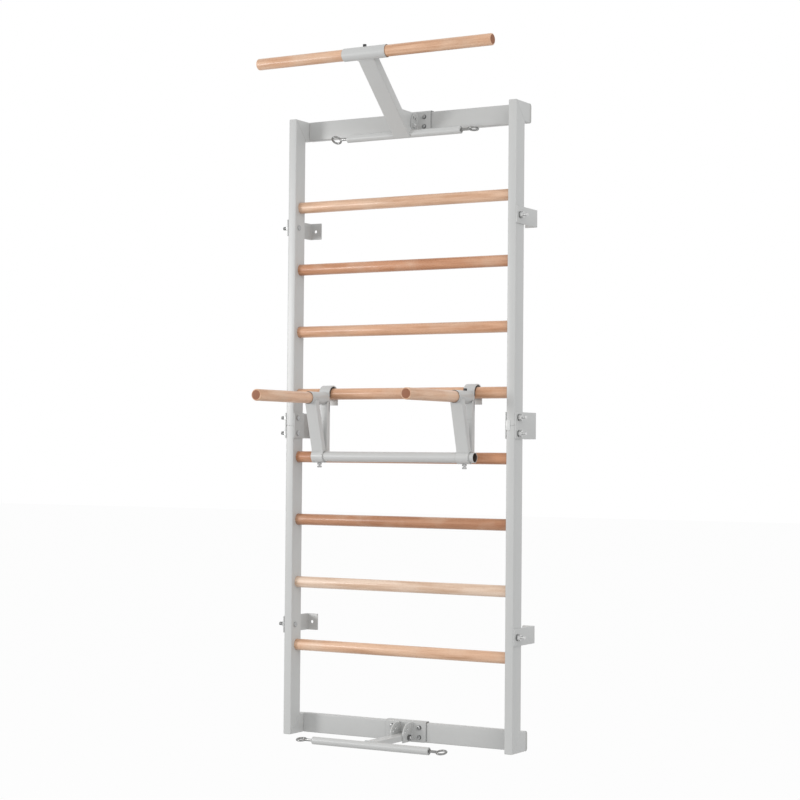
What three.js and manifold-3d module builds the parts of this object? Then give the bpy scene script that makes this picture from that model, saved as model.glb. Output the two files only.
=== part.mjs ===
// Swedish wall bars: a welded steel ladder with wooden rungs, screwed to a wall, that carries
// a tilting pull-up boom at the top, a tilting band arm at the bottom and a lift-off dip unit.
// Millimetres, +Z up, +X to the right as seen from the room. The ladder's back is the plane Y = 0
// and the front faces -Y. The origin is the middle of the lower beam's rear face; the brackets
// hold the ladder a little way in front of the wall.
import * as THREE from "three";
import { mergeVertices } from "three/addons/utils/BufferGeometryUtils.js";
import Module from "manifold-3d";

const wasm = await Module();
wasm.setup();

// Ladder frame
const frameHeight = 2095;
const frameWidth = 870;
const frameDepth = 107;
const uprightWidth = 30;
const uprightDepth = 60;
const tubeWall = 2;
const stubHeight = 65;
const beamThickness = 25;
const jointGap = 0.3;

// End caps of the stubs
const capCorner = 10;
const capLand = 2;
const capPlugLength = 15;
const capPlugClearance = 0.3;

// Splice sleeves inside the two-part uprights
const spliceLength = 120;
const spliceClearance = 0.3;

// Rungs
const rungCount = 8;
const rungDiameter = 38;
const rungPitch = 213;
const rungSetback = 36;
const rungClearance = 0.3;

// Wall brackets and their bolts
const bracketPlate = 4;
const bracketFromRung = 69;
const bracketHeight = 56;
const middleBracketHeight = 86;
const bracketStandOff = 44;
const bracketFoot = 45;
const wallScrewHole = 11;
const wallScrewInset = 18.5;
const boltDiameter = 10;
const boltSetback = 22;
const boltReach = 32;
const boltHead = 7;
const middleBoltSpacing = 52;
const nutAcrossFlats = 17;
const nutThickness = 8;
const washerDiameter = 20;
const washerThickness = 2;
const boltClearance = 0.3;

// Saddles on the two beams
const saddleWidth = 160;
const saddlePlate = 4;
const saddleLip = 20;
const earThickness = 5;
const upperEarReach = 38;
const lowerEarReach = 60;
const earRise = 2.5;
const earCorner = 38;
const earSideClearance = 0.5;
const pivotReach = 26;
const pivotRise = 17.5;
const pivotDiameter = 10;
const lockHoleDiameter = 9;
const upperLockRadius = 26;
const upperLockFirst = 60;
const lowerLockRadius = 29;
const lowerLockFirst = 104;
const lockHoleStep = 32.5;

// Band tubes and their swivelling eyes
const bandTubeDiameter = 25;
const bandTubeLength = 434;
const bandPlugLength = 25;
const eyeOuterDiameter = 38;
const eyeWire = 6;
const eyeReach = 26;
const eyeShank = 8;
const eyeShankGrip = 20;
const eyeCollarDiameter = 14;
const eyeCollarWidth = 4;

// How far each eye has swivelled at rest, in degrees
const eyeTurns = {
  upper: { left: -37, right: -9 },
  lower: { left: 8, right: 14 },
};

// Lower band arm
const armWidth = 40;
const armThickness = 20;
const armReach = 205;
const armRootClearance = 6;
const armTubeDrop = 4;

// Upper pull-up boom
const boomTilt = 47.4;
const boomWidth = 60;
const boomThickness = 30;
const boomClearance = 5.2;
const boomLength = 332;
const boomTubeInset = 12.9;
const boomTubeClearance = 4;
const tonguePlate = 4;
const tongueRise = 45;
const tongueDrop = 22;
const tongueClearance = 10;
const sleeveLength = 160;
const sleeveWall = 2;
const sleeveClearance = 0.2;
const barDiameter = 38;
const barLength = 873;
const barOffset = 23;

// Dip unit
const dipRung = 4;
const dipCentre = -12;
const dipSpacing = 552;
const handleDiameter = 38;
const handleReach = 438;
const handleDrop = 15.5;
const gripSleeveReach = 129;
const handleEndGap = 0.5;
const strapWidth = 40;
const strapThickness = 4;
const hookLip = 38;
const linerThickness = 5.4;
const linerClearance = 0.3;
const linerFootGap = 5.5;
const frontLegWidth = 45;
const rearLegWidth = 40;
const legThickness = 20;
const legClearance = 1;
const rearLegFoot = 12;
const frontLegTilt = 15.6;
const ventDiameter = 8;
const collarDiameter = 42.4;
const collarLength = 45;
const collarRise = 2;
const collarClearance = 0.3;
const stopDiameter = 22;
const stopLength = 13;
const crossTubeDiameter = 33.7;
const crossTubeOverhang = 16;
const lockScrewDiameter = 8;
const lockScrewFlats = 13;
const lockScrewHead = 6;
const lockScrewReach = 16;

// Working values
const pipeSides = 20;
const boltSides = 10;
const hexSides = 6;
const ringSteps = 16;
const wireSides = 6;
const cutMargin = 5;
const mergeDistance = 1e-4;

const bottomZ = -stubHeight / 2;
const topZ = bottomZ + frameHeight;
const middleZ = (bottomZ + topZ) / 2;
const frontY = -frameDepth;
const rungY = frontY + rungSetback;
const rungRadius = rungDiameter / 2;
const innerX = frameWidth / 2 - uprightWidth;
const outerX = frameWidth / 2;
const capDepth = capCorner + capLand;

// Finishes
const finishes = {
  coat: { color: 0xc9cac8, roughness: 0.5, metalness: 0.1 },
  wood: { color: 0xc78b58, roughness: 0.55, metalness: 0 },
  zinc: { color: 0xa9abab, roughness: 0.35, metalness: 0.9 },
  plastic: { color: 0xb9bab8, roughness: 0.6, metalness: 0 },
  rubber: { color: 0x1b1c1d, roughness: 0.7, metalness: 0 },
};

// A closed three.js geometry as a solid that can be joined and cut
function solidOf(geometry) {
  geometry.deleteAttribute("normal");
  geometry.deleteAttribute("uv");
  const merged = mergeVertices(geometry, mergeDistance);
  return new wasm.Manifold(
    new wasm.Mesh({
      numProp: 3,
      vertProperties: merged.attributes.position.array,
      triVerts: new Uint32Array(merged.index.array),
    }),
  );
}

// A block between two corners, given in any order
function block(a, b) {
  const size = a.map((value, i) => Math.abs(b[i] - value));
  const centre = a.map((value, i) => (b[i] + value) / 2);
  return solidOf(new THREE.BoxGeometry(...size).translate(...centre));
}

// A round bar between two points; six sides give a hexagon
function round(a, b, diameter, sides) {
  const from = new THREE.Vector3(...a);
  const along = new THREE.Vector3(...b).sub(from);
  const turn = new THREE.Quaternion().setFromUnitVectors(
    new THREE.Vector3(0, 1, 0),
    along.clone().normalize(),
  );
  const geometry = new THREE.CylinderGeometry(diameter / 2, diameter / 2, along.length(), sides);
  geometry.applyQuaternion(turn);
  geometry.translate(...from.addScaledVector(along, 0.5).toArray());
  return solidOf(geometry);
}

// A round bar along X
function roundX(x0, x1, y, z, diameter, sides) {
  return round([x0, y, z], [x1, y, z], diameter, sides);
}

// A profile drawn in Y and Z, pulled along X
function pulled(shape, x0, x1) {
  const geometry = new THREE.ExtrudeGeometry(shape, {
    depth: Math.abs(x1 - x0),
    bevelEnabled: false,
    curveSegments: pipeSides / 4,
  });
  geometry.applyMatrix4(
    new THREE.Matrix4().makeBasis(
      new THREE.Vector3(0, 1, 0),
      new THREE.Vector3(0, 0, 1),
      new THREE.Vector3(1, 0, 0),
    ),
  );
  return solidOf(geometry.translate(Math.min(x0, x1), 0, 0));
}

// The same for a profile given by its corners
function pulledCorners(corners, x0, x1) {
  return pulled(new THREE.Shape(corners.map(([y, z]) => new THREE.Vector2(y, z))), x0, x1);
}

function join(solids) {
  return solids.reduce((sum, solid) => sum.add(solid));
}

function cut(solid, tools) {
  return tools.reduce((rest, tool) => rest.subtract(tool), solid);
}

// Diameter over the corners of a hexagon
function acrossCorners(flats) {
  return flats / Math.cos(Math.PI / hexSides);
}

function meshOf(name, solid, finish) {
  const { vertProperties, triVerts } = solid.getMesh();
  const geometry = new THREE.BufferGeometry();
  geometry.setAttribute("position", new THREE.BufferAttribute(vertProperties, 3));
  geometry.setIndex(new THREE.BufferAttribute(triVerts, 1));
  geometry.computeVertexNormals();
  const mesh = new THREE.Mesh(geometry, new THREE.MeshStandardMaterial(finishes[finish]));
  mesh.name = name;
  return mesh;
}

const sides = [
  { side: -1, sideName: "left" },
  { side: 1, sideName: "right" },
];
const levels = [
  { level: 1, levelName: "upper" },
  { level: -1, levelName: "lower" },
];

const wallBars = new THREE.Group();

// Rungs, numbered from the top, with their ends inside the uprights
const rungHeights = Array.from(
  { length: rungCount },
  (_, i) => middleZ + ((rungCount - 1) / 2 - i) * rungPitch,
);
const rungHalf = outerX - tubeWall - jointGap;

function rungHoles() {
  const diameter = rungDiameter + 2 * rungClearance;
  const half = rungHalf + jointGap / 2;
  return rungHeights.map((z) => roundX(-half, half, rungY, z, diameter, pipeSides));
}

rungHeights.forEach((z, i) => {
  const rung = roundX(-rungHalf, rungHalf, 0, 0, rungDiameter, pipeSides);
  const mesh = meshOf(`rung_${i + 1}`, rung, "wood");
  mesh.position.set(0, rungY, z);
  wallBars.add(mesh);
});

// Wall brackets, with the heights of their bolts about their own middle. The middle ones have a
// plate against the inner side of the upright as well.
const bracketUpperZ = rungHeights[0] - bracketFromRung;
const bracketLowerZ = rungHeights[rungCount - 1] + bracketFromRung;
const middleBolts = [middleBoltSpacing / 2, -middleBoltSpacing / 2];
const brackets = [
  { place: "upper", z: bracketUpperZ, height: bracketHeight, bolts: [0], innerPlate: 0 },
  { place: "middle", z: middleZ, height: middleBracketHeight, bolts: middleBolts, innerPlate: bracketPlate },
  { place: "lower", z: bracketLowerZ, height: bracketHeight, bolts: [0], innerPlate: 0 },
];
const boltY = frontY + boltSetback;
const boltHeights = brackets.flatMap(({ z, bolts }) => bolts.map((offset) => z + offset));

function boltHoles() {
  const diameter = boltDiameter + 2 * boltClearance;
  const half = outerX + bracketPlate + cutMargin;
  return boltHeights.map((z) => roundX(-half, half, boltY, z, diameter, boltSides));
}

// The mitre at an outer corner: the wedge taken off the upright or off the stub
function mitreWedge(level, takenOff) {
  const slope = stubHeight / uprightDepth;
  const endZ = level * (frameHeight / 2);
  const near = [frontY - cutMargin, endZ + level * cutMargin * slope];
  const far = [
    frontY + uprightDepth + cutMargin,
    endZ - level * (stubHeight + cutMargin * slope),
  ];
  const upright = takenOff === "upright";
  const corner = upright ? [far[0], near[1]] : [near[0], far[1]];
  const shift = middleZ + (upright ? -level : level) * (jointGap / 2);
  const corners = [near, far, corner].map(([y, z]) => [y, z + shift]);
  return pulledCorners(corners, -frameWidth, frameWidth);
}

// Half of an upright, hollow, with the rung holes in its inner wall
function uprightHalf(side, level) {
  const seam = middleZ + level * (jointGap / 2);
  const end = middleZ + level * (frameHeight / 2);
  const tube = block(
    [side * innerX, frontY, seam],
    [side * outerX, frontY + uprightDepth, end],
  );
  const hollow = block(
    [side * (innerX + tubeWall), frontY + tubeWall, seam - level * cutMargin],
    [side * (outerX - tubeWall), frontY + uprightDepth - tubeWall, end + level * cutMargin],
  );
  return cut(tube, [hollow, mitreWedge(level, "upright"), ...rungHoles(), ...boltHoles()]);
}

// The stub that runs from the end of an upright back towards the wall
function stub(side, level) {
  const end = middleZ + level * (frameHeight / 2);
  const foot = end - level * stubHeight;
  const tube = block([side * innerX, frontY, foot], [side * outerX, -capDepth, end]);
  const hollow = block(
    [side * (innerX + tubeWall), frontY - cutMargin, foot + level * tubeWall],
    [side * (outerX - tubeWall), -capDepth + cutMargin, end - level * tubeWall],
  );
  return cut(tube, [hollow, mitreWedge(level, "stub")]);
}

// The moulded cap that closes the rear end of a stub, with its plug inside the tube
function endCap(side, level) {
  const centre = middleZ + level * (frameHeight / 2 - stubHeight / 2);
  const half = stubHeight / 2;
  const profile = new THREE.Shape();
  profile.moveTo(-capDepth, centre - half);
  profile.lineTo(-capCorner, centre - half);
  profile.absarc(-capCorner, centre - half + capCorner, capCorner, -Math.PI / 2, 0);
  profile.absarc(-capCorner, centre + half - capCorner, capCorner, 0, Math.PI / 2);
  profile.lineTo(-capDepth, centre + half);
  const inset = tubeWall + capPlugClearance;
  const plug = block(
    [side * (innerX + inset), -capDepth - capPlugLength, centre - half + inset],
    [side * (outerX - inset), -capCorner, centre + half - inset],
  );
  return join([pulled(profile, side * innerX, side * outerX), plug]);
}

// A beam across the ladder's back between two stubs
function beam(level) {
  const end = middleZ + level * (frameHeight / 2);
  const foot = end - level * stubHeight;
  const half = innerX - jointGap;
  const tube = block([-half, -beamThickness, foot], [half, 0, end]);
  const hollow = block(
    [-half - cutMargin, -beamThickness + tubeWall, foot + level * tubeWall],
    [half + cutMargin, -tubeWall, end - level * tubeWall],
  );
  return cut(tube, [hollow]);
}

// The sleeve inside an upright that joins its two halves
function splice(side) {
  const inset = tubeWall + spliceClearance;
  const half = spliceLength / 2;
  const sleeve = block(
    [side * (innerX + inset), frontY + inset, middleZ - half],
    [side * (outerX - inset), frontY + uprightDepth - inset, middleZ + half],
  );
  const deep = inset + tubeWall;
  const hollow = block(
    [side * (innerX + deep), frontY + deep, middleZ - half - cutMargin],
    [side * (outerX - deep), frontY + uprightDepth - deep, middleZ + half + cutMargin],
  );
  return cut(sleeve, [hollow, ...rungHoles(), ...boltHoles()]);
}

// A wall bracket: a cheek on the outer side of the upright, bent in behind it to a foot on the wall
function wallBracket(side, { z, height }) {
  const low = z - height / 2;
  const high = z + height / 2;
  const outside = outerX + bracketPlate;
  const cheek = block([side * outerX, frontY, low], [side * outside, bracketStandOff, high]);
  const foot = block(
    [side * (outside - bracketFoot), bracketStandOff - bracketPlate, low],
    [side * outside, bracketStandOff, high],
  );
  const screwX = side * (outerX - wallScrewInset);
  const screwHole = round(
    [screwX, bracketStandOff - bracketPlate - cutMargin, z],
    [screwX, bracketStandOff + cutMargin, z],
    wallScrewHole,
    boltSides,
  );
  return cut(join([cheek, foot]), [screwHole, ...boltHoles()]);
}

// The plate that bridges the seam of an upright on its inner side
function seamPlate(side, { z, height, innerPlate }) {
  const plate = block(
    [side * (innerX - innerPlate), frontY, z - height / 2],
    [side * innerX, frontY + uprightDepth, z + height / 2],
  );
  return cut(plate, boltHoles());
}

// A bracket bolt, drawn about the middle of the upright: its head and a washer on the inner side,
// a washer, a nut and a length of thread on the outer side
function bracketBolt(side, innerPlate) {
  const half = uprightWidth / 2;
  const corners = acrossCorners(nutAcrossFlats);
  const innerSeat = -half - innerPlate;
  const headSeat = innerSeat - washerThickness;
  const headEnd = headSeat - boltHead;
  const outerSeat = half + bracketPlate;
  const nutSeat = outerSeat + washerThickness;
  const nutEnd = nutSeat + nutThickness;
  const across = (from, to, diameter, count) => roundX(side * from, side * to, 0, 0, diameter, count);
  return join([
    across(headEnd, half + boltReach, boltDiameter, boltSides),
    across(headEnd, headSeat, corners, hexSides),
    across(headSeat, innerSeat, washerDiameter, boltSides),
    across(outerSeat, nutSeat, washerDiameter, boltSides),
    across(nutSeat, nutEnd, corners, hexSides),
  ]);
}

sides.forEach(({ side, sideName }) => {
  levels.forEach(({ level, levelName }) => {
    const suffix = `${levelName}_${sideName}`;
    wallBars.add(meshOf(`upright_${suffix}`, uprightHalf(side, level), "coat"));
    wallBars.add(meshOf(`stub_${suffix}`, stub(side, level), "coat"));
    wallBars.add(meshOf(`end_cap_${suffix}`, endCap(side, level), "plastic"));
  });
  wallBars.add(meshOf(`splice_${sideName}`, splice(side), "zinc"));
  brackets.forEach((bracket) => {
    const suffix = `${bracket.place}_${sideName}`;
    wallBars.add(meshOf(`wall_bracket_${suffix}`, wallBracket(side, bracket), "coat"));
    if (bracket.innerPlate > 0) {
      wallBars.add(meshOf(`seam_plate_${sideName}`, seamPlate(side, bracket), "coat"));
    }
    bracket.bolts.forEach((offset, i) => {
      const number = bracket.bolts.length > 1 ? `_${i + 1}` : "";
      const mesh = meshOf(`bracket_bolt_${suffix}${number}`, bracketBolt(side, bracket.innerPlate), "zinc");
      mesh.position.set(side * (innerX + uprightWidth / 2), boltY, bracket.z + offset);
      wallBars.add(mesh);
    });
  });
});
levels.forEach(({ level, levelName }) => {
  wallBars.add(meshOf(`beam_${levelName}`, beam(level), "coat"));
});

// Saddles: a plate on the front of the beam, lipped over its top, with two ears for a pivot
const saddleFront = -beamThickness - saddlePlate;
const pivotY = saddleFront - pivotReach;
const earInner = armWidth / 2 + earSideClearance;
const earOuter = earInner + earThickness;
const pivotHole = pivotDiameter + 2 * boltClearance;

function beamFoot(level) {
  return level > 0 ? topZ - stubHeight : bottomZ;
}

// The two saddles differ in how far their ears reach and where the lock holes are
const upperSaddle = {
  earReach: upperEarReach,
  lockRadius: upperLockRadius,
  lockFirst: upperLockFirst,
};
const lowerSaddle = {
  earReach: lowerEarReach,
  lockRadius: lowerLockRadius,
  lockFirst: lowerLockFirst,
};

// An ear in side view, with its top front corner rounded
function earProfile(earReach) {
  const front = saddleFront - earReach;
  const profile = new THREE.Shape();
  profile.moveTo(-beamThickness, earRise);
  profile.lineTo(-beamThickness, stubHeight);
  profile.lineTo(front + earCorner, stubHeight);
  profile.absarc(front + earCorner, stubHeight - earCorner, earCorner, Math.PI / 2, Math.PI);
  profile.lineTo(front, earRise);
  return profile;
}

function saddle({ earReach, lockRadius, lockFirst }) {
  const half = saddleWidth / 2;
  const top = stubHeight + saddlePlate;
  const plate = block([-half, saddleFront, 0], [half, -beamThickness, top]);
  const lipRear = -beamThickness + saddleLip;
  const lip = block([-half, saddleFront, stubHeight], [half, lipRear, top]);
  const profile = earProfile(earReach);
  const ears = [pulled(profile, earInner, earOuter), pulled(profile, -earOuter, -earInner)];
  const reliefs = sides.map(({ side }) =>
    block(
      [side * earInner, saddleFront - cutMargin, stubHeight],
      [side * earOuter, lipRear + cutMargin, top + cutMargin],
    ),
  );
  const across = earOuter + cutMargin;
  const holes = [roundX(-across, across, pivotY, pivotRise, pivotHole, boltSides)];
  [0, 1].forEach((step) => {
    const angle = THREE.MathUtils.degToRad(lockFirst + step * lockHoleStep);
    const y = pivotY + lockRadius * Math.cos(angle);
    const z = pivotRise + lockRadius * Math.sin(angle);
    holes.push(roundX(-across, across, y, z, lockHoleDiameter, boltSides));
  });
  return cut(join([plate, lip, ...ears]), [...reliefs, ...holes]);
}

// A pivot bolt with its head on the left ear and its nut on the right one
function pivotBolt() {
  const corners = acrossCorners(nutAcrossFlats);
  const end = earOuter + nutThickness;
  return join([
    roundX(-end, end + nutThickness / 2, 0, 0, pivotDiameter, boltSides),
    roundX(-end, -earOuter, 0, 0, corners, hexSides),
    roundX(earOuter, end, 0, 0, corners, hexSides),
  ]);
}

levels.forEach(({ level, levelName }) => {
  const mesh = meshOf(`saddle_${levelName}`, saddle(level > 0 ? upperSaddle : lowerSaddle), "coat");
  mesh.position.z = beamFoot(level);
  const bolt = meshOf(`pivot_bolt_${levelName}`, pivotBolt(), "zinc");
  bolt.position.set(0, pivotY, beamFoot(level) + pivotRise);
  wallBars.add(mesh, bolt);
});

// A band tube across an arm: its outside, and the hollow with a plug bored for an eye at each end
const bandHalf = bandTubeLength / 2;
const eyeHole = eyeShank + 2 * boltClearance;

function bandTubeOutside(y, z) {
  return roundX(-bandHalf, bandHalf, y, z, bandTubeDiameter, pipeSides);
}

function bandTubeHollow(y, z) {
  const half = bandHalf - bandPlugLength;
  const bore = bandTubeDiameter - 2 * tubeWall;
  const across = bandHalf + cutMargin;
  return join([
    roundX(-half, half, y, z, bore, pipeSides),
    roundX(-across, across, y, z, eyeHole, boltSides),
  ]);
}

// A closed eye on a shank, with a collar that stops it at the end of the band tube
function swivelEye() {
  const ringRadius = (eyeOuterDiameter - eyeWire) / 2;
  const ringX = eyeReach + eyeOuterDiameter / 2;
  const ring = new THREE.TorusGeometry(ringRadius, eyeWire / 2, wireSides, ringSteps);
  return join([
    solidOf(ring.translate(ringX, 0, 0)),
    roundX(-eyeShankGrip, eyeReach + eyeWire / 2, 0, 0, eyeShank, boltSides),
    roundX(jointGap, jointGap + eyeCollarWidth, 0, 0, eyeCollarDiameter, boltSides),
  ]);
}

function addEyes(group, levelName, y, z) {
  sides.forEach(({ side, sideName }) => {
    const eye = meshOf(`eye_${levelName}_${sideName}`, swivelEye(), "zinc");
    const turn = THREE.MathUtils.degToRad(eyeTurns[levelName][sideName]);
    eye.rotation.set(turn - group.rotation.x, 0, side > 0 ? 0 : Math.PI);
    eye.position.set(side * bandHalf, y, z);
    group.add(eye);
  });
}

// Lower band arm, level at rest, drawn about its pivot
function bandArm() {
  const tubeZ = -armTubeDrop;
  const halfWidth = armWidth / 2;
  const halfHeight = armThickness / 2;
  const root = pivotReach - armRootClearance;
  const outside = block([-halfWidth, -armReach, -halfHeight], [halfWidth, root, halfHeight]);
  const tube = bandTubeOutside(-armReach, tubeZ);
  const hollow = block(
    [-halfWidth + tubeWall, -armReach, -halfHeight + tubeWall],
    [halfWidth - tubeWall, root + cutMargin, halfHeight - tubeWall],
  );
  const pivot = roundX(-armWidth, armWidth, 0, 0, pivotHole, boltSides);
  return cut(join([outside, tube]), [
    cut(hollow, [tube]),
    bandTubeHollow(-armReach, tubeZ),
    pivot,
  ]);
}

const armGroup = new THREE.Group();
armGroup.position.set(0, pivotY, beamFoot(-1) + pivotRise);
armGroup.add(meshOf("band_arm", bandArm(), "coat"));
addEyes(armGroup, "lower", -armReach, -armTubeDrop);
wallBars.add(armGroup);

// Upper boom, drawn upright about its pivot and then tilted forward. Its rear face keeps clear
// of the ears' lower front corner, and its band tube runs through its foot just below the ears.
// The foot is cut square, and its front edge is level with the underside of that tube.
const tilt = THREE.MathUtils.degToRad(boomTilt);
const earForward = upperEarReach - pivotReach;
const earBelow = pivotRise - earRise;
const boomOffset = earForward * Math.cos(tilt) + earBelow * Math.sin(tilt) + boomClearance;
const boomMiddle = -(boomOffset + boomThickness / 2);
const boomTubeY = -boomOffset - boomTubeInset;
const boomTubeLevel = -(earBelow + boomTubeClearance + bandTubeDiameter / 2);
const boomTubeZ = (boomTubeLevel - boomTubeY * Math.sin(tilt)) / Math.cos(tilt);
const barHole = barDiameter + 2 * sleeveClearance;
const sleeveDiameter = barHole + 2 * sleeveWall;

// A cheek of the boom's tongue: its corners lie level when the boom is tilted
function tongueCorners() {
  const rear = pivotReach - tongueClearance;
  const level = (y, z) => [
    y * Math.cos(tilt) + z * Math.sin(tilt),
    z * Math.cos(tilt) - y * Math.sin(tilt),
  ];
  const onBoom = (z) => {
    const y = -(boomOffset + tubeWall / 2 + z * Math.sin(tilt)) / Math.cos(tilt);
    return level(y, z);
  };
  return [
    onBoom(tongueRise),
    onBoom(-tongueDrop),
    level(0, -tongueDrop),
    level(rear, -rear),
    level(rear, tongueRise),
  ];
}

function pullUpBoom() {
  const halfWidth = boomWidth / 2;
  const rear = -boomOffset;
  const front = rear - boomThickness;
  const underside = boomTubeLevel - bandTubeDiameter / 2;
  const low = (underside - front * Math.sin(tilt)) / Math.cos(tilt);
  const outside = block([-halfWidth, front, low], [halfWidth, rear, boomLength]);
  const hollow = block(
    [-halfWidth + tubeWall, front + tubeWall, low - cutMargin],
    [halfWidth - tubeWall, rear - tubeWall, boomLength],
  );
  const tube = bandTubeOutside(boomTubeY, boomTubeZ);
  const halfSleeve = sleeveLength / 2;
  const sleeve = roundX(-halfSleeve, halfSleeve, boomMiddle, boomLength, sleeveDiameter, pipeSides);
  const bore = roundX(-sleeveLength, sleeveLength, boomMiddle, boomLength, barHole, pipeSides);
  const tongues = [
    pulledCorners(tongueCorners(), armWidth / 2 - tonguePlate, armWidth / 2),
    pulledCorners(tongueCorners(), -armWidth / 2, -armWidth / 2 + tonguePlate),
  ];
  const pivot = roundX(-boomWidth, boomWidth, 0, 0, pivotHole, boltSides);
  const tubed = join([outside, tube, sleeve, ...tongues]);
  const hollows = [cut(hollow, [tube, sleeve]), bandTubeHollow(boomTubeY, boomTubeZ)];
  return cut(tubed, [...hollows, bore, pivot]);
}

const boomGroup = new THREE.Group();
boomGroup.position.set(0, pivotY, beamFoot(1) + pivotRise);
boomGroup.rotation.x = tilt;
boomGroup.add(meshOf("pull_up_boom", pullUpBoom(), "coat"));
const barHalf = barLength / 2;
const barSolid = roundX(-barHalf, barHalf, 0, 0, barDiameter, pipeSides);
const pullUpBar = meshOf("pull_up_bar", barSolid, "wood");
pullUpBar.position.set(barOffset, boomMiddle, boomLength);
boomGroup.add(pullUpBar);
addEyes(boomGroup, "upper", boomTubeY, boomTubeZ);
wallBars.add(boomGroup);

// Dip unit, drawn about the axis of the rung that it hangs on
const linerOuter = rungRadius + linerClearance + linerThickness;
const strapInner = linerOuter + linerClearance;
const strapOuter = strapInner + strapThickness;
const handleHole = handleDiameter + 2 * sleeveClearance;
const gripDiameter = handleHole + 2 * sleeveWall;
const collarY = -(rungRadius + collarClearance + stopLength + collarDiameter / 2);
const collarZ = -rungPitch + collarRise;
const collarHole = crossTubeDiameter + 2 * collarClearance;
const legRear = -(rungRadius + legClearance);

// A strip bent over the rung, with a straight limb down each side
function hookProfile(inner, outer, frontDrop, rearDrop) {
  const profile = new THREE.Shape();
  profile.moveTo(outer, -rearDrop);
  profile.absarc(0, 0, outer, 0, Math.PI);
  profile.lineTo(-outer, -frontDrop);
  profile.lineTo(-inner, -frontDrop);
  profile.absarc(0, 0, inner, Math.PI, 0, true);
  profile.lineTo(inner, -rearDrop);
  return profile;
}

// The front leg leans from the collar to the grip sleeve; the shape is drawn upright and tilted
function leaning(solidGeometry) {
  solidGeometry.rotateX(THREE.MathUtils.degToRad(frontLegTilt));
  return solidOf(solidGeometry.translate(0, collarY, collarZ));
}

function frontLeg(inset) {
  const length = (-handleDrop - collarZ) / Math.cos(THREE.MathUtils.degToRad(frontLegTilt));
  const geometry = new THREE.BoxGeometry(frontLegWidth - 2 * inset, legThickness - 2 * inset, length);
  return leaning(geometry.translate(0, 0, length / 2));
}

// The rear leg hangs beside the rungs, and its open foot stands on the rear of the collar
function rearLeg(inset, low, high) {
  const half = rearLegWidth / 2 - inset;
  return block([-half, legRear - legThickness + inset, low], [half, legRear - inset, high]);
}

// The hole that lets the hollow front leg drain into the collar
function ventHole() {
  const reach = collarDiameter / 2 + ventDiameter;
  const radius = ventDiameter / 2;
  const vent = new THREE.CylinderGeometry(radius, radius, reach, boltSides);
  return leaning(vent.rotateX(Math.PI / 2).translate(0, 0, reach / 2));
}

function dipBracket() {
  const halfStrap = strapWidth / 2;
  const gripFoot = -handleDrop - gripDiameter / 2;
  const grip = round(
    [0, -gripSleeveReach, -handleDrop],
    [0, -strapInner, -handleDrop],
    gripDiameter,
    pipeSides,
  );
  const gripBore = round(
    [0, -handleReach, -handleDrop],
    [0, -strapOuter, -handleDrop],
    handleHole,
    pipeSides,
  );
  const strap = pulled(hookProfile(strapInner, strapOuter, -gripFoot, hookLip), -halfStrap, halfStrap);
  const halfCollar = collarLength / 2;
  const collar = roundX(-halfCollar, halfCollar, collarY, collarZ, collarDiameter, pipeSides);
  const collarBore = roundX(-collarLength, collarLength, collarY, collarZ, collarHole, pipeSides);
  const screwHole = round(
    [0, collarY, collarZ],
    [0, collarY, collarZ - collarDiameter],
    lockScrewDiameter + 2 * boltClearance,
    boltSides,
  );
  const stop = round(
    [0, collarY, collarZ],
    [0, -rungRadius - collarClearance, collarZ],
    stopDiameter,
    pipeSides,
  );
  const foot = collarZ + rearLegFoot;
  const hollows = join([rearLeg(tubeWall, foot - cutMargin, gripFoot), frontLeg(tubeWall)]);
  const outside = join([grip, strap, collar, stop, rearLeg(0, foot, -handleDrop), frontLeg(0)]);
  return cut(outside, [cut(hollows, [grip, collar]), ventHole(), gripBore, collarBore, screwHole]);
}

// A screw under the collar that locks the cross tube
function lockScrew() {
  const tip = -crossTubeDiameter / 2 - jointGap;
  const end = -collarDiameter / 2 - lockScrewReach;
  return join([
    round([0, 0, tip], [0, 0, end], lockScrewDiameter, boltSides),
    round([0, 0, end + lockScrewHead], [0, 0, end], acrossCorners(lockScrewFlats), hexSides),
  ]);
}

function crossTube() {
  const left = -(dipSpacing + collarLength) / 2;
  const right = (dipSpacing + collarLength) / 2 + crossTubeOverhang;
  const bore = crossTubeDiameter - 2 * tubeWall;
  const hollow = roundX(left - cutMargin, right + cutMargin, 0, 0, bore, pipeSides);
  return cut(roundX(left, right, 0, 0, crossTubeDiameter, pipeSides), [hollow]);
}

function dipHandle() {
  const rear = -strapOuter - handleEndGap;
  return round([0, -handleReach, 0], [0, rear, 0], handleDiameter, pipeSides);
}

function hookLiner() {
  const inner = rungRadius + linerClearance;
  const drop = handleDrop - linerFootGap;
  const profile = hookProfile(inner, linerOuter, drop, drop);
  return pulled(profile, -strapWidth / 2, strapWidth / 2);
}

const dipGroup = new THREE.Group();
dipGroup.position.set(dipCentre, rungY, rungHeights[dipRung - 1]);
sides.forEach(({ side, sideName }) => {
  const half = new THREE.Group();
  half.position.x = side * (dipSpacing / 2);
  const handle = meshOf(`dip_handle_${sideName}`, dipHandle(), "wood");
  handle.position.z = -handleDrop;
  const screw = meshOf(`lock_screw_${sideName}`, lockScrew(), "zinc");
  screw.position.set(0, collarY, collarZ);
  half.add(meshOf(`dip_bracket_${sideName}`, dipBracket(), "coat"));
  half.add(meshOf(`hook_liner_${sideName}`, hookLiner(), "rubber"));
  half.add(handle, screw);
  dipGroup.add(half);
});
const crossTubeMesh = meshOf("cross_tube", crossTube(), "coat");
crossTubeMesh.position.set(0, collarY, collarZ);
dipGroup.add(crossTubeMesh);
wallBars.add(dipGroup);

export default wallBars;
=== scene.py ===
import math

import bmesh
import bpy
from mathutils import Matrix, Vector


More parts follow.
